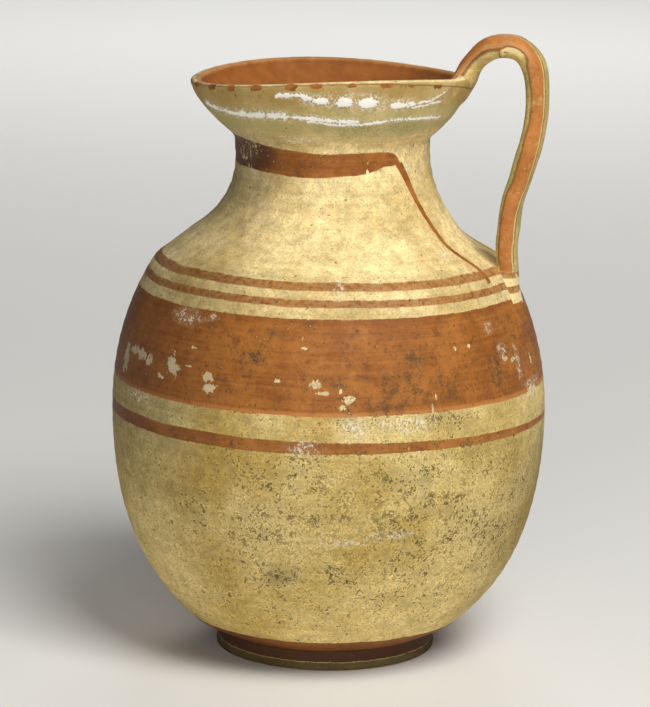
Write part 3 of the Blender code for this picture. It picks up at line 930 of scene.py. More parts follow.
class Desk:
    """Lays nodes in one tree. Each method returns the socket of the node that it adds."""

    def __init__(self, tree):
        self.tree = tree

    def node(self, kind, inputs, **settings):
        """A node with its settings and inputs, each input a value or another socket."""
        made = self.tree.nodes.new("ShaderNode" + kind)
        for name, value in settings.items():
            setattr(made, name, value)
        for key, value in inputs.items():
            if isinstance(value, bpy.types.NodeSocket):
                self.tree.links.new(value, made.inputs[key])
            else:
                made.inputs[key].default_value = (*value, 1.0) if isinstance(value, Color) else value
        return made

    def math(self, operation, *values):
        """A Math node."""
        return self.node("Math", dict(enumerate(values)), operation=operation).outputs[0]

    times = operation("MULTIPLY", "a b")
    plus = operation("ADD", "a + b")
    less = operation("SUBTRACT", "a - b")
    line = operation("MULTIPLY_ADD", "a b + c")
    size = operation("ABSOLUTE", "a without its sign")

    def largest(self, *values):
        """The largest of several values."""
        result = values[0]
        for value in values[1:]:
            result = self.math("MAXIMUM", result, value)
        return result

    def ease(self, value, low, high, start=0.0, end=1.0):
        """start below low, end above high and a smooth step between them."""
        return self.node("MapRange", {0: value, 1: low, 2: high, 3: start, 4: end},
                         interpolation_type="SMOOTHSTEP").outputs[0]

    def scaled(self, value, low, high, start=0.0, end=1.0):
        """start at low, end at high and straight between them."""
        return self.node("MapRange", {0: value, 1: low, 2: high, 3: start, 4: end}).outputs[0]

    def tint(self, amount, first, second):
        """Two colours mixed by an amount."""
        return self.node("Mix", {0: amount, 6: first, 7: second}, data_type="RGBA").outputs[2]

    def shaded(self, tone, value, low, high):
        """A colour made low times as bright where a noise is 0.3, and high times at 0.7."""
        return self.node("HueSaturation", {"Value": self.scaled(value, 0.3, 0.7, low, high),
                                           "Color": tone}).outputs[0]

    def stretched(self, place, scale):
        """A place times a scale on each axis."""
        return self.node("Mapping", {"Vector": place, "Scale": scale}).outputs[0]

    def noise(self, place, scale, detail=3.0, roughness=0.6):
        """Noise from 0 to 1, mostly near 0.5, with scale grains to the metre."""
        return self.node("TexNoise", {"Vector": place, "Scale": scale, "Detail": detail,
                                      "Roughness": roughness}).outputs[0]

    def attribute(self, name, output="Fac"):
        """A value that the mesh keeps for each point."""
        return self.node("Attribute", {}, attribute_name=name).outputs[output]

    def cut(self, value, mask):
        """A value taken away where a mask is 1: value (1 - mask)."""
        return self.times(value, self.less(1.0, mask))

    def broken(self, field, noise, rag):
        """The inside of a field with its edge broken by a noise: ease(field + rag (noise - 1/2))."""
        return self.ease(self.plus(field, self.line(noise, rag, -rag / 2)), *BROKEN_EDGE)

    def use(self, tree, **inputs):
        """A node group placed in this tree: its outputs by name."""
        return self.node("Group", inputs, node_tree=tree).outputs

    def graph(self, value, points):
        """A curve drawn through (value, result) points in their own units."""
        columns = np.array(points, dtype=float)
        (low_x, low_y), (high_x, high_y) = columns.min(axis=0), columns.max(axis=0)
        shares = (columns - (low_x, low_y)) / (high_x - low_x, high_y - low_y)
        node = self.node("FloatCurve", {"Value": self.scaled(value, low_x, high_x)})
        curve = node.mapping.curves[0]
        curve.points[0].location, curve.points[1].location = shares[0], shares[-1]
        for point in shares[1:-1]:
            curve.points.new(*point)
        node.mapping.update()
        return self.scaled(node.outputs[0], 0.0, 1.0, low_y, high_y)

    def away(self, place, scale, shift):
        """Distance of a scaled and shifted place from the origin: |place scale + shift|."""
        local = self.node("VectorMath", {0: place, 1: scale, 2: shift},
                          operation="MULTIPLY_ADD").outputs[0]
        return self.node("VectorMath", {0: local}, operation="LENGTH").outputs["Value"]

    def spots(self, place, marks, outline):
        """1 in the middle of the nearest mark and 0 on its edge, in the wall's design space."""
        nearest = None
        for angle, height, wide, tall in marks:
            turn, radius = math.radians(angle), np.interp(height, outline[:, 1], outline[:, 0])
            middle = np.array((radius * math.cos(turn), radius * math.sin(turn), height))
            scale = np.array((1 / wide, 1 / wide, 1 / tall))
            away = self.away(place, scale, -middle * scale)
            nearest = away if nearest is None else self.math("MINIMUM", nearest, away)
        return self.less(1.0, nearest)

    def runs(self, angle, height, lines):
        """The largest of several runs over the angle, each 1 on its line and 0 at its half width."""
        fields = []
        for points, half in lines:
            away = self.size(self.less(height, self.graph(angle, points)))
            field = self.line(away, -1.0 / half, 1.0)
            start, end = points[0][0], points[-1][0]
            taper = RUN_TAPER * (end - start)
            inside = self.times(self.ease(angle, start, start + taper),
                                self.ease(angle, end - taper, end, 1.0, 0.0))
            fields.append(self.line(inside, 9.0, self.less(field, 9.0)))
        return self.largest(*fields)

    def band(self, height, low, high, edge=0.00022):
        """1 between two heights with soft edges."""
        return self.times(self.ease(self.less(height, low), -edge, edge),
                          self.ease(self.less(high, height), -edge, edge))


# Values of a broken field between which its edge lies.
BROKEN_EDGE = (-0.06, 0.10)


class Group(Desk):
    """The desk of a node group with named sockets, and its input sockets."""

    def __init__(self, name, inputs, outputs):
        super().__init__(bpy.data.node_groups.new(name, "ShaderNodeTree"))
        for way, labels in (("INPUT", inputs), ("OUTPUT", outputs)):
            for label in labels.split():
                kind = KINDS.get(label, "NodeSocketFloat")
                self.tree.interface.new_socket(label, in_out=way, socket_type=kind)
        self.entry = self.tree.nodes.new("NodeGroupInput").outputs
        self.exits = self.tree.nodes.new("NodeGroupOutput").inputs

    def finish(self, **results):
        """Links the results to the output sockets and returns the group's tree."""
        for name, socket in results.items():
            self.tree.links.new(socket, self.exits[name])
        return self.tree


# The sockets that carry a place or a colour; all others carry a number.
KINDS = {"Place": "NodeSocketVector",
         **dict.fromkeys(("Color", "Light", "Deep", "Ash", "Full", "Thin", "Dark"), "NodeSocketColor")}


def place_group():
    """Angle in degrees from the handle and height, from a design place."""
    desk = Group("Wall place", "Place", "Angle Height")
    axes = desk.node("SeparateXYZ", {0: desk.entry["Place"]}).outputs
    turn = desk.math("DEGREES", desk.math("ARCTAN2", axes["Y"], axes["X"]))
    return desk.finish(Angle=turn, Height=axes["Z"])


def slip_group():
    """Fired slip: clouds of light and ochre, ashy patches, wheel streaks and a fine grain.

    Its noises are put out too, for the paint and the worn edges over it.
    """
    desk = Group("Fired slip", "Place Light Deep Ash",
                 "Color Height Grain Clouds Patches Mottle Rag Streak")
    place, light, deep, ash = (desk.entry[name] for name in ("Place", "Light", "Deep", "Ash"))
    clouds = desk.noise(place, 22.0, 4.0)
    patches = desk.noise(place, 62.0, 4.0)
    mottle = desk.noise(place, 210.0, 3.0)
    rag = desk.noise(place, 430.0, 3.0, 0.65)
    grain = desk.noise(place, 1150.0, 2.5, 0.65)
    streak = desk.noise(desk.stretched(place, (9.0, 9.0, 520.0)), 1.0, 3.0, 0.62)
    tone = desk.tint(desk.ease(clouds, 0.34, 0.62), deep, light)
    tone = desk.tint(desk.ease(patches, 0.50, 0.72, 0.0, 0.34), tone, ash)
    tone = desk.tint(desk.ease(rag, 0.50, 0.66, 0.0, 0.30), tone, deep)
    for value, low, high in ((mottle, 0.77, 1.22), (streak, 0.90, 1.10), (grain, 0.76, 1.22)):
        tone = desk.shaded(tone, value, low, high)
    height = desk.line(mottle, 0.00012, desk.times(grain, 0.00007))
    height = desk.line(streak, 0.00006, height)
    return desk.finish(Color=tone, Height=height, Grain=grain, Clouds=clouds, Patches=patches,
                       Mottle=mottle, Rag=rag, Streak=streak)


def iron_group():
    """Brushed iron paint: streaks along the wheel, thin orange ground and dark pools."""
    desk = Group("Iron paint", "Streak Patches Mottle Rag Full Thin Dark", "Color")
    entry = desk.entry
    both = desk.line(entry["Patches"], 0.60, desk.times(entry["Streak"], 0.40))
    tone = desk.tint(desk.ease(both, 0.38, 0.60), entry["Full"], entry["Thin"])
    pools = desk.line(entry["Rag"], 0.55, desk.times(entry["Mottle"], 0.45))
    tone = desk.tint(desk.ease(pools, 0.49, 0.64, 0.0, 0.60), tone, entry["Dark"])
    return desk.finish(Color=desk.shaded(tone, entry["Rag"], 0.78, 1.20))


def specks_group():
    """Dark specks of three sizes, gathered in clusters, more of them where Density is higher."""
    desk = Group("Specks", "Place Gather Fade Density", "Mask")
    amount = desk.times(desk.entry["Density"], desk.ease(desk.entry["Gather"], 0.32, 0.68, 0.25, 1.25))
    masks = []
    for scale, still, full in ((1350.0, 0.73, 0.20), (740.0, 0.72, 0.17), (400.0, 0.735, 0.115)):
        limit = desk.line(amount, -full, still)
        over = desk.less(desk.noise(desk.entry["Place"], scale, 1.5, 0.55), limit)
        masks.append(desk.ease(over, -0.02, 0.06))
    fade = desk.ease(desk.entry["Fade"], 0.36, 0.62, 0.42, 0.86)
    return desk.finish(Mask=desk.times(desk.largest(*masks), fade))


def rubbed_group():
    """Paint rubbed off: fine bare points and short scratches, more of them as Amount rises."""
    desk = Group("Rubbed paint", "Place Gather Amount", "Mask")
    place = desk.entry["Place"]
    points = desk.noise(place, 780.0, 2.0)
    scratch = desk.noise(desk.stretched(place, (640.0, 640.0, 90.0)), 1.0, 2.0)
    amount = desk.times(desk.entry["Amount"], desk.ease(desk.entry["Gather"], 0.40, 0.70, 0.2, 1.0))
    masks = [desk.ease(desk.less(value, desk.line(amount, full, 0.76)), 0.0, 0.05)
             for value, full in ((points, -0.16), (scratch, -0.12))]
    return desk.finish(Mask=desk.largest(*masks))


def new_material(name, roughness, specular):
    """A material with one Principled shader, and that shader."""
    material = bpy.data.materials.new(name)
    material.use_nodes = True
    shader = material.node_tree.nodes["Principled BSDF"]
    shader.inputs["Roughness"].default_value = roughness
    shader.inputs["Specular IOR Level"].default_value = specular
    return material, shader


class Coat(Desk):
    """One material of the jug: its desk, its slip and the colour laid on so far."""

    def __init__(self, scene, groups, name, roughness=0.62, specular=0.18):
        self.material, self.shader = new_material(name, roughness, specular)
        super().__init__(self.material.node_tree)
        self.groups, self.bands, self.paints = groups, scene.jug_bands, scene.jug_paints
        self.place = self.attribute("design", "Vector")

    def group(self, name, **inputs):
        """One of the shared groups, fed with the place: its outputs by name."""
        return self.use(self.groups[name], Place=self.place, **inputs)

    def wash(self, light, deep, ash):
        """Lays the slip and returns its outputs."""
        self.slip = self.group("slip", Light=light, Deep=deep, Ash=ash)
        self.tone = self.slip["Color"]
        return self.slip

    def iron(self, streak, full, thin, dark):
        """Brushed paint, streaked by one of the slip's noises."""
        noises = {name: self.slip[name] for name in ("Patches", "Mottle", "Rag")}
        return self.use(self.groups["iron"], Streak=self.slip[streak], **noises,
                        Full=full, Thin=thin, Dark=dark)["Color"]

    def specks(self, density):
        """Dark specks as a mask."""
        return self.group("specks", Gather=self.slip["Mottle"], Fade=self.slip["Patches"],
                          Density=density)["Mask"]

    def rubbed(self, amount):
        """Rubbed points and scratches as a mask."""
        return self.group("rubbed", Gather=self.slip["Mottle"], Amount=amount)["Mask"]

    def lay(self, mask, paint):
        """Covers the colour with a paint where a mask is 1."""
        self.tone = self.tint(mask, self.tone, paint)

    def finish(self, height, roughness):
        """Links colour, roughness and a bump whose height is in metres, and returns the material."""
        bump = self.node("Bump", {"Height": height, "Distance": 1.0, "Strength": 1.0}).outputs[0]
        for socket, name in ((self.tone, "Base Color"), (roughness, "Roughness"), (bump, "Normal")):
            self.tree.links.new(socket, self.shader.inputs[name])
        return self.material


def swing(desk, angle, middle, size, level):
    """level + size cos(angle - middle): a slow rise and fall round the pot."""
    turn = desk.math("RADIANS", desk.less(angle, middle))
    return desk.line(desk.math("COSINE", turn), size, level)


def swag_mask(desk, angle, height):
    """The neck's painted swag: a band round the neck and its tail down to the handle's root."""
    side = desk.largest(desk.times(angle, -1.0), desk.less(angle, SWAG_MIDDLE))
    beside = desk.less(side, desk.graph(height, SWAG_TAIL))
    top = desk.graph(side, SWAG_TOP)
    neck = desk.band(height, desk.graph(side, SWAG_LOW), top, 0.0003)
    neck = desk.times(neck, desk.ease(beside, -1.2, 0.0))
    reach = desk.less(desk.graph(height, SWAG_REACH), desk.size(beside))
    tail = desk.times(desk.ease(reach, -0.22, 0.22), desk.band(height, SWAG_END, top, 0.0003))
    return desk.largest(neck, tail)


def shoulder_lines(desk, bands, angle, level, rag):
    """The two lines on the shoulder as one mask, worn thin in places by a noise."""
    level = desk.plus(level, swing(desk, angle, LINES_HIGHEST, -bands.line_swing, 0.0))
    lines = desk.largest(*(desk.band(level, middle - half, middle + half) for middle, half in (
        (bands.first_line, bands.first_half), (bands.second_line, bands.second_half))))
    return desk.times(lines, desk.ease(rag, 0.36, 0.62, 0.98, 0.72))


def past_crack(desk, angle, height):
    """1 on the clay right of the crack at the handle's root, which sank a little."""
    over = desk.less(height, desk.graph(angle, ROOT_CRACK))
    near = desk.times(desk.math("GREATER_THAN", angle, ROOT_CRACK[0][0]),
                      desk.math("LESS_THAN", angle, 20.0))
    return desk.times(near, desk.math("GREATER_THAN", over, 0.0))


def wall_paint(desk, bands, angle, level, rag):
    """Every painted band of the outside as one mask."""
    low_top = swing(desk, angle, EDGE_HIGHEST, bands.low_line_swing, bands.low_line_top)
    return desk.largest(shoulder_lines(desk, bands, angle, level, rag),
                        desk.band(level, bands.low_line, low_top),
                        desk.band(level, bands.broad_low, bands.broad_high),
                        desk.band(level, bands.foot_low, bands.foot_top),
                        swag_mask(desk, angle, level))


def root_fill(coat, outline):
    """The old repair at the handle's root: a thin line of fill with a wider lump at its end."""
    spot = coat.group("place")
    line = coat.runs(spot["Angle"], spot["Height"], ((ROOT_CRACK, FILL_HALF_WIDTH),))
    lump = coat.broken(coat.spots(coat.place, PLASTER_SPOTS, outline), coat.slip["Rag"], 1.2)
    coat.lay(coat.largest(coat.ease(line, 0.0, 0.35, 0.0, 0.95), lump), coat.paints.plaster)


# Heights between which the wall's looks change: the end of the moulding's grime and painted contact
# shadow, of the foot's darker paint, partly painted shade under the belly, of the painted shade on the
# right side and of the slip's stronger colour, where the painted shade on the left side gets deeper and
# the specks get fewer, and the start of the cup's darker band under the lip, a wash with painted shade,
# and of its brown.
GRIME_AND_SHADOW_END, FIRED_AND_SHADED_END, SHADED_END, RICH_END = (
    (0.0036, 0.0042), (0.030, 0.035), (0.094, 0.124), (0.100, 0.170))
DEEPER_LEFT_SHADE, FEWER_SPECKS, WASH_AND_SHADE_START, BROWN_START = (
    (0.060, 0.120), (0.100, 0.190), (0.2368, 0.2416), (0.2455, 0.2520))
# Angles of the middles of the left and of the right side that are darkened as painted shade, and of
# the places where the low line's upper edge and the shoulder lines run highest.
LEFT_SHADE_SIDE, SHADED_SIDE, EDGE_HIGHEST, LINES_HIGHEST = -150.0, 25.0, -125.0, -120.0


def wall_material(scene, groups, outline):
    """Outer and inner wall: slip, painted bands, wear, stains, specks, haze and lime."""
    desk = Coat(scene, groups, "painted_wall")
    bands, paints = desk.bands, desk.paints
    from_lip = desk.attribute("from_lip")
    spot = desk.group("place")
    slip = desk.wash(paints.slip_light, paints.slip_deep, paints.slip_ash)
    iron = desk.iron("Streak", paints.iron, paints.iron_thin, paints.iron_dark)
    clouds, patches, mottle, rag, grain = (
        slip[name] for name in ("Clouds", "Patches", "Mottle", "Rag", "Grain"))
    angle = spot["Angle"]
    drift = desk.line(rag, 0.0010, desk.line(patches, 0.0016, -0.0013))
    drift = desk.line(past_crack(desk, angle, spot["Height"]), bands.crack_drop, drift)
    level = desk.plus(spot["Height"], drift)
    outside = desk.ease(from_lip, 0.0003, 0.0007)

    # Paint: chipped, rubbed and darker in places, partly painted shade on the foot and the left side;
    # and the ground's brightness beside it, with painted shade on both sides and painted floor light
    # low down.
    chips = desk.broken(desk.spots(desk.place, PAINT_CHIPS, outline), rag, 3.4)
    scuffs = desk.attribute("scuffs")
    rubbed = desk.rubbed(desk.ease(scuffs, -0.1, 0.4, 0.55, 1.8))
    # Partly painted shade: the foot's paint is darkened under the belly, fully below foot_side and a
    # little up to the belly's underside; scuffs darken the paint as well.
    side, blur = bands.foot_side, 0.0006
    fired_and_shaded = desk.largest(desk.ease(scuffs, -0.25, 0.35, 0.0, 0.88),
                         desk.times(desk.ease(level, *FIRED_AND_SHADED_END, 1.0, 0.0),
                                    desk.ease(level, side - blur, side + blur, 1.0, 0.22)))
    paint = desk.tint(fired_and_shaded, iron, paints.iron_dark)
    thin = desk.size(desk.less(level, bands.broad_low + 0.0006))
    paint = desk.tint(desk.ease(thin, 0.0005, 0.0017, 0.62, 0.0), paint, paints.flame)
    # Painted shade: slip and paint are darkened towards the pot's left side, and the slip low on the
    # belly towards its right side.
    left_shade = desk.ease(swing(desk, angle, LEFT_SHADE_SIDE, 1.0, 0.0), 0.50, 1.0)
    shaded_side = desk.ease(swing(desk, angle, SHADED_SIDE, 1.0, 0.0), 0.55, 1.0)
    shaded_side = desk.times(shaded_side, desk.ease(level, *SHADED_END, 0.32, 0.0))
    paint = desk.tint(desk.times(left_shade, 0.48), paint, paints.iron_dark)
    painted = desk.cut(wall_paint(desk, bands, angle, level, rag), chips)
    painted = desk.times(desk.cut(painted, desk.times(rubbed, 0.85)), outside)
    # Painted light: the slip's brightness rises towards the foot as if lit from the floor; painted
    # shade takes it down on the sides.
    bright = desk.less(desk.graph(level, SLIP_BRIGHTNESS_AND_BOUNCE), shaded_side)
    bright = desk.line(left_shade, desk.ease(level, *DEEPER_LEFT_SHADE, -0.06, -0.34), bright)
    rich = desk.ease(level, *RICH_END, 1.10, 0.95)
    desk.tone = desk.node("HueSaturation", {"Value": bright, "Color": slip["Color"],
                                            "Saturation": rich}).outputs[0]
    desk.lay(painted, paint)
    desk.lay(desk.times(chips, 0.14), paints.lime)

    # Soil and painted shade: the cup's band under the lip, the line under the lip, the foot's grime
    # with painted contact shadow, stains, moss and specks.
    # Painted shade with a brownish wash: the cup's outside under the lip is darkened where it faces
    # down.
    shade = desk.times(desk.ease(level, *WASH_AND_SHADE_START), desk.ease(from_lip, 0.0010, 0.0018))
    shade = desk.times(shade, desk.ease(patches, 0.36, 0.62, 0.62, 0.95))
    desk.lay(shade, desk.tint(desk.ease(level, *BROWN_START), paints.slip_ash, paints.cup_wash_and_shade))
    under = desk.graph(angle, LIP_DARK_LINE)
    under = desk.size(desk.less(desk.line(rag, 0.0008, from_lip), under))
    desk.lay(desk.ease(under, 0.0001, 0.0005, 0.62, 0.0), paints.smut_and_shade)
    # Painted contact shadow with grime on the foot's lower moulding.
    desk.lay(desk.ease(level, *GRIME_AND_SHADOW_END, 0.88, 0.0), paints.grime_and_contact_shadow)
    stain_and_shade = desk.ease(desk.attribute("stains_and_mouth_shade"), -0.35, 0.75)
    grit = desk.ease(desk.plus(grain, mottle), 0.98, 1.14, 0.10, 0.78)
    desk.lay(desk.times(stain_and_shade, grit), paints.smut_and_shade)
    moss = desk.ease(desk.attribute("moss"), -0.4, 0.6)
    desk.lay(desk.times(moss, desk.ease(grain, 0.44, 0.62, 0.04, 0.50)), paints.moss)
    soil = desk.ease(desk.attribute("soil"), -0.3, 0.7, 0.0, 0.58)
    desk.lay(desk.times(soil, desk.ease(patches, 0.40, 0.64, 0.12, 0.55)), paints.veil)
    density = desk.line(stain_and_shade, 0.35, desk.plus(soil, desk.ease(level, *FEWER_SPECKS, 0.42, 0.20)))
    specks = desk.specks(desk.times(density, outside))
    desk.lay(specks, paints.soil)
    scraped = desk.line(scuffs, 0.60, -0.62)
    dusty = desk.largest(desk.attribute("haze"), scraped)
    haze = desk.times(desk.ease(dusty, -0.5, 0.7),
                      desk.ease(desk.plus(grain, rag), 0.98, 1.16, 0.06, 0.80))
    desk.lay(haze, paints.dust)

    # The mouth: paint, bare clay below it, and stains with painted shade towards the back right; then
    # the dabs over the lip.
    ragged = desk.line(rag, 0.0012, desk.line(mottle, 0.0014, -0.0013))
    mouth_edge = desk.plus(from_lip, ragged)
    inner = desk.ease(mouth_edge, -0.0011, -0.0007, 1.0, 0.0)
    sunk = desk.line(clouds, 0.030, from_lip)
    deep = desk.ease(sunk, 0.014 - bands.inside_depth, 0.017 - bands.inside_depth, 1.0, 0.0)
    inward = desk.tint(desk.ease(clouds, 0.40, 0.66), paints.mouth, paints.iron)
    inward = desk.tint(desk.ease(mouth_edge, -0.0048, -0.0026, 0.0, 0.55), inward, paints.tan)
    inward = desk.shaded(desk.tint(deep, inward, paints.clay), mottle, 0.85, 1.15)
    # Painted shade with stains: the mouth's paint is darkened towards the back right.
    inward = desk.tint(desk.times(stain_and_shade, desk.ease(patches, 0.3, 0.6, 0.55, 0.9)),
                       inward, paints.smut_and_shade)
    desk.lay(inner, inward)
    dabs = desk.broken(desk.attribute("dabs"), rag, 1.9)
    desk.lay(dabs, desk.tint(0.12, iron, paints.iron_dark))

    # Lime: blobs and runs, each broken by the grain, with powder round them.
    blobs = desk.spots(desk.place, LIME_BLOBS, outline)
    lime = desk.runs(angle, spot["Height"], LIME_RUNS)
    crumbs = desk.line(grain, 0.55, desk.times(rag, 0.45))
    lime = desk.less(lime, desk.ease(mottle, 0.50, 0.68, 0.0, 0.8))
    crust = desk.largest(desk.broken(blobs, crumbs, 2.0), desk.broken(lime, crumbs, 5.0))
    crust = desk.times(crust, outside)
    powder = desk.ease(desk.largest(blobs, lime), -2.0, 0.2, 0.0, 0.58)
    powder = desk.times(powder, desk.ease(crumbs, 0.47, 0.60, 0.03, 1.0))
    powder = desk.times(powder, outside)
    desk.lay(desk.largest(desk.times(crust, 0.92), powder), paints.lime)
    root_fill(desk, outline)

    height = desk.line(crust, 0.00022, desk.line(specks, -0.00006, slip["Height"]))
    rough = desk.largest(desk.scaled(painted, 0.0, 1.0, 0.74, 0.55), desk.times(crust, 0.92))
    return desk.finish(height, rough)


# Heights between which the handle's looks change: the end of its stripe, the start of the fine
# lines, and above the root the end of the wall's slip and of its painted lines; and the runs
# between which the patch at the arch lies.
STRIPE_END, ARM_START, ROOT_SLIP_END, ROOT_LINES_END = (
    (0.1768, 0.1786), (0.1800, 0.1830), (0.1766, 0.1784), (0.1796, 0.1808))
PATCH_RUN = (0.0012, 0.0120)


def strap_material(scene, groups, outline):
    """The handle: slip with an orange stripe on each side, fine dark borders and two repairs."""
    desk = Coat(scene, groups, "painted_strap")
    bands, paints = desk.bands, desk.paints
    axes = desk.node("SeparateXYZ", {0: desk.attribute("strap", "Vector")}).outputs
    run, turn = axes["X"], axes["Y"]
    spot = desk.group("place")
    slip = desk.wash(paints.slip_deep, paints.slip_ash, paints.slip_ash)
    height, patches, mottle = spot["Height"], slip["Patches"], slip["Mottle"]
    side = desk.plus(turn, desk.line(patches, 22.0, -11.0))
    low, high = desk.graph(run, STRIPE_LOW), desk.graph(run, STRIPE_HIGH)
    over, under = desk.less(side, low), desk.less(high, side)
    stripe = desk.times(desk.ease(over, -1.5, 1.5), desk.ease(under, -1.5, 1.5))
    stripe = desk.times(stripe, desk.ease(height, *STRIPE_END))
    rubbed = desk.rubbed(0.9)
    worn = desk.ease(mottle, 0.54, 0.70, 0.0, 0.38)
    patch = desk.times(desk.band(run, *PATCH_RUN, 0.0012), desk.ease(over, -34.0, -26.0))
    patch = desk.times(patch, desk.ease(over, -4.0, 6.0, 1.0, 0.0))
    stripe = desk.cut(stripe, desk.largest(desk.times(rubbed, 0.6), worn, patch))
    desk.lay(stripe, desk.iron("Clouds", paints.iron_thin, paints.flame, paints.iron))

    # Fine lines beside the stripe: its edge, where the line shows, the turn from the edge, half
    # the width, the solid share of that, strength and paint.
    arm = desk.ease(height, *ARM_START)
    inner = desk.ease(desk.size(desk.plus(over, 1.5)), 2.0, 8.0, 0.62, 0.0)
    desk.lay(desk.cut(desk.times(inner, arm), patch), paints.iron_dark)
    rise = desk.times(arm, desk.ease(run, 0.006, 0.024, 1.0, 0.0))
    for edge, part, middle, half, core, strength, paint in (
            (over, rise, 20.0, 14.0, 0.3, 0.60, paints.tan),
            (over, rise, 7.0, 6.0, 0.3, 0.55, paints.iron_dark),
            (under, arm, -3.5, 3.0, 0.4, 0.40, paints.slip_light),
            (under, arm, -11.0, 5.0, 0.4, 0.70, paints.iron)):
        away = desk.size(desk.less(edge, middle))
        desk.lay(desk.times(desk.ease(away, half * core, half, strength, 0.0), part), paint)
    desk.lay(patch, paints.slip_light)

    # The root: the wall's slip and its painted lines run on over the handle's lower end.
    iron = desk.iron("Streak", paints.iron, paints.iron_thin, paints.iron_dark)
    level = desk.plus(height, desk.line(patches, 0.0016, bands.crack_drop - 0.0008))
    desk.lay(desk.ease(height, *ROOT_SLIP_END, 1.0, 0.0), paints.slip_light)
    broad, blur = bands.broad_high, 0.0003
    bars = desk.largest(shoulder_lines(desk, bands, spot["Angle"], level, slip["Rag"]),
                        desk.ease(level, broad - blur, broad + blur, 1.0, 0.0))
    desk.lay(desk.times(bars, desk.ease(height, *ROOT_LINES_END, 1.0, 0.0)), iron)
    desk.lay(desk.times(desk.specks(0.30), 0.8), paints.soil)
    jag = desk.line(mottle, 0.0030, -0.0015)
    crack = desk.ease(desk.size(desk.plus(run, jag)), 0.00012, 0.00045, 0.75, 0.0)
    crack = desk.times(crack, desk.ease(over, -30.0, 20.0, 1.0, 0.15))
    desk.lay(crack, paints.soil)
    root_fill(desk, outline)
    bump = desk.line(crack, -0.00035, slip["Height"])
    return desk.finish(bump, desk.scaled(stripe, 0.0, 1.0, 0.72, 0.56))


def underside_material(scene, groups):
    """The foot's underside: bare clay with the curved cuts of the wire and rubbed-in dirt."""
    desk = Coat(scene, groups, "foot_underside", 0.8, 0.3)
    paints = desk.paints
    slip = desk.wash(paints.clay, paints.slip_deep, paints.slip_ash)
    away = desk.away(desk.place, (1.0, 1.35, 1.0), (0.031, -0.012, 0.0))
    cuts = desk.math("SINE", desk.times(desk.line(slip["Patches"], 0.004, away), WIRE_PACE))
    specks = desk.specks(0.7)
    desk.lay(desk.ease(cuts, 0.2, 1.0, 0.0, 0.28), paints.iron_dark)
    desk.lay(desk.times(specks, 0.6), paints.soil)
    return desk.finish(desk.line(cuts, 0.00010, slip["Height"]),
                       desk.scaled(slip["Mottle"], 0.3, 0.7, 0.9, 0.75))


def jug_materials(scene):
    """The jug's three materials in the order of its material slots, with their shared groups."""
    groups = {"place": place_group(), "slip": slip_group(), "iron": iron_group(),
              "specks": specks_group(), "rubbed": rubbed_group()}
    outline = outside_line(scene.jug_wall)
    outline = outline[outline[:, 1] > scene.jug_wall.foot_height]
    return (wall_material(scene, groups, outline), strap_material(scene, groups, outline),
            underside_material(scene, groups))


def aim(thing, target):
    """Turns a light so that it shines at a target."""
    away = Vector(thing.location) - Vector(target)
    thing.rotation_mode = "QUATERNION"
    thing.rotation_quaternion = away.to_track_quat("Z", "Y")


def picture_place(right, away, up):
    """A place given from the picture: to its right, away from the viewer, and up."""
    turn = math.radians(PICTURE_ANGLE)
    return Vector((right * math.cos(turn) - away * math.sin(turn),
                   right * math.sin(turn) + away * math.cos(turn), up))


def soft_light(name, place, target, size, power, tint):
    """A large rectangular light of a size, power and colour, aimed from a place at a target."""
    data = bpy.data.lights.new(name, "AREA")
    data.shape = "RECTANGLE"
    data.size, data.size_y = size
    data.energy = power
    data.color = tint
    lamp = bpy.data.objects.new(name, data)
    lamp.location = place
    bpy.context.scene.collection.objects.link(lamp)
    aim(lamp, target)
    return lamp


def make_camera(studio):
    """The camera: aim point less distance along the view, then shifted and rolled.

    With picture angle A and pitch e the view runs along (-sin A cos e, cos A cos e, -sin e),
    the picture's right is (cos A, sin A, 0) and its up is right x view.
    """
    turn, pitch, roll = math.radians(PICTURE_ANGLE), studio.camera_pitch, studio.camera_roll
    view = Vector((-math.sin(turn) * math.cos(pitch), math.cos(turn) * math.cos(pitch),
                   -math.sin(pitch)))
    right = Vector((math.cos(turn), math.sin(turn), 0.0))
    up = right.cross(view)
    place = (Vector((0.0, 0.0, studio.aim_height)) - view * studio.camera_distance
             + right * studio.aim_right + up * studio.aim_up)
    rolled_right = right * math.cos(roll) + up * math.sin(roll)
    rolled_up = up * math.cos(roll) - right * math.sin(roll)
    data = bpy.data.cameras.new("camera")
    data.lens = studio.lens
    data.sensor_width = 36.0
    data.clip_end = 60.0
    camera = bpy.data.objects.new("camera", data)
    axes = Matrix((rolled_right, rolled_up, -view)).transposed()
    camera.matrix_world = Matrix.Translation(place) @ axes.to_4x4()
    bpy.context.scene.collection.objects.link(camera)
    bpy.context.scene.camera = camera
    return camera


# Half the floor's side, and the point that the lights are aimed at.
FLOOR_HALF = 14.0
LIT_POINT = Vector((0.0, 0.0, 0.13))


def make_floor(studio):
    """A large level floor with a faint unevenness of tone."""
    mesh = bpy.data.meshes.new("floor")
    corners = ((-1, -1), (1, -1), (1, 1), (-1, 1))
    mesh.from_pydata([(x * FLOOR_HALF, y * FLOOR_HALF, 0.0) for x, y in corners], [], [(0, 1, 2, 3)])
    material, shader = new_material("floor", 0.75, 0.2)
    desk = Desk(material.node_tree)
    place = desk.node("TexCoord", {}).outputs["Object"]
    tone = desk.tint(desk.noise(place, 2.0, 2.0), studio.ground, studio.ground * 0.97)
    desk.tree.links.new(tone, shader.inputs["Base Color"])
    mesh.materials.append(material)
    ground = bpy.data.objects.new("floor", mesh)
    bpy.context.scene.collection.objects.link(ground)
    return ground


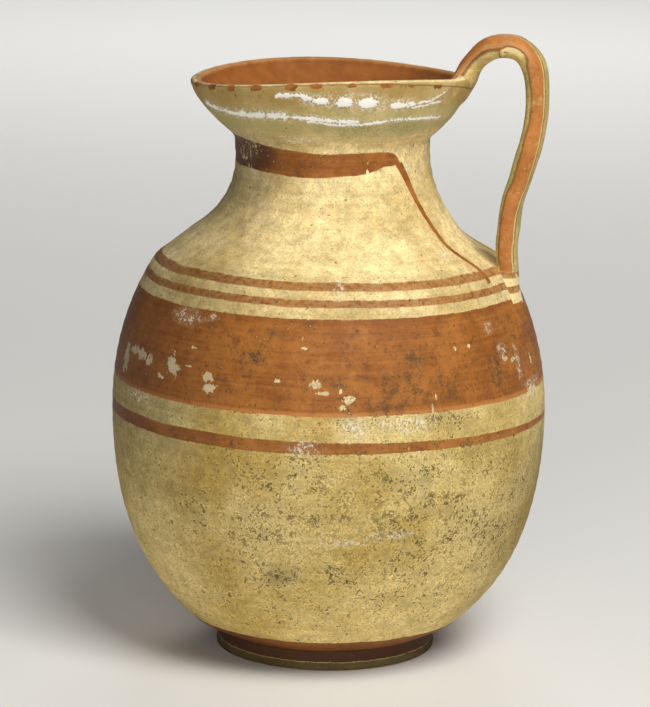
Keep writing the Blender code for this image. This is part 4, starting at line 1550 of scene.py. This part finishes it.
def make_stage(scene):
    """Floor, lights, surround and camera."""
    studio = scene.jug_studio
    make_floor(studio)
    behind = picture_place(0.0, 2.8, 0.0)
    for name, place, target, size, power, tint in (
            ("key_light", (0.68, -1.15, 1.76), LIT_POINT, (1.0, 1.0), studio.key, (1.0, 0.985, 0.95)),
            ("fill_light", (-0.1, -1.95, 0.62), LIT_POINT, (0.8, 0.8), studio.fill, (1.0, 0.97, 0.92)),
            ("back_light", (0.0, 2.6, 2.6), behind, (3.0, 1.5), studio.back, (1.0, 1.0, 1.0)),
            ("rear_light", (0.2, 2.4, 1.7), LIT_POINT, (1.2, 1.2), studio.rear, (1.0, 0.98, 0.95))):
        lamp = soft_light(name, picture_place(*place), target, size, power, tint)
        if target is behind:
            lamp.data.spread = math.radians(100.0)
    world = bpy.data.worlds.new("surround")
    world.use_nodes = True
    world.node_tree.nodes["Background"].inputs["Color"].default_value = (1.0, 0.96, 0.90, 1.0)
    world.node_tree.nodes["Background"].inputs["Strength"].default_value = studio.sky
    scene.world = world
    scene.view_settings.view_transform = "Standard"
    make_camera(studio)


class PAINTEDJUG_OT_throw(bpy.types.Operator):
    """Throw the wall, join the strap handle to it, then paint and age the jug"""

    bl_idname = "painted_jug.throw"
    bl_label = "Throw and paint the jug"

    def execute(self, context):
        make_jug(context.scene)
        return {"FINISHED"}


class PAINTEDJUG_OT_stage(bpy.types.Operator):
    """Set the floor, the lights, the surround and the camera"""

    bl_idname = "painted_jug.stage"
    bl_label = "Set the studio"

    def execute(self, context):
        make_stage(context.scene)
        return {"FINISHED"}


SETTINGS = {
    "jug_wall": JugWall, "jug_strap": JugStrap, "jug_faults": JugFaults,
    "jug_bands": JugBands, "jug_paints": JugPaints, "jug_studio": JugStudio,
}


class PAINTEDJUG_PT_sidebar(bpy.types.Panel):
    """Sizes and colours of the jug, and the steps that make it"""

    bl_idname = "PAINTEDJUG_PT_sidebar"
    bl_label = "Painted Jug"
    bl_space_type = "VIEW_3D"
    bl_region_type = "UI"
    bl_category = "Painted Jug"

    def draw(self, context):
        column = self.layout.column()
        for operator in (PAINTEDJUG_OT_throw, PAINTEDJUG_OT_stage):
            column.operator(operator.bl_idname)
        for name in SETTINGS:
            group = getattr(context.scene, name)
            box = self.layout.box()
            box.label(text=group.bl_rna.description)
            for key in group.bl_rna.properties.keys():
                if key not in ("rna_type", "name"):
                    box.prop(group, key, text=key.replace("_", " ").capitalize())


CLASSES = (*SETTINGS.values(), PAINTEDJUG_OT_throw, PAINTEDJUG_OT_stage, PAINTEDJUG_PT_sidebar)


def register():
    """Makes the settings, the steps and the panel known to Blender."""
    for item in CLASSES:
        bpy.utils.register_class(item)
    for name, group in SETTINGS.items():
        setattr(bpy.types.Scene, name, PointerProperty(type=group))


def unregister():
    """Takes the panel, the steps and the settings away again."""
    for name in SETTINGS:
        delattr(bpy.types.Scene, name)
    for item in reversed(CLASSES):
        bpy.utils.unregister_class(item)


def main():
    """Makes the jug, then its stage, and writes the sizes of both models."""
    register()
    bpy.ops.painted_jug.throw()
    bpy.ops.painted_jug.stage()


if __name__ == "__main__":
    main()
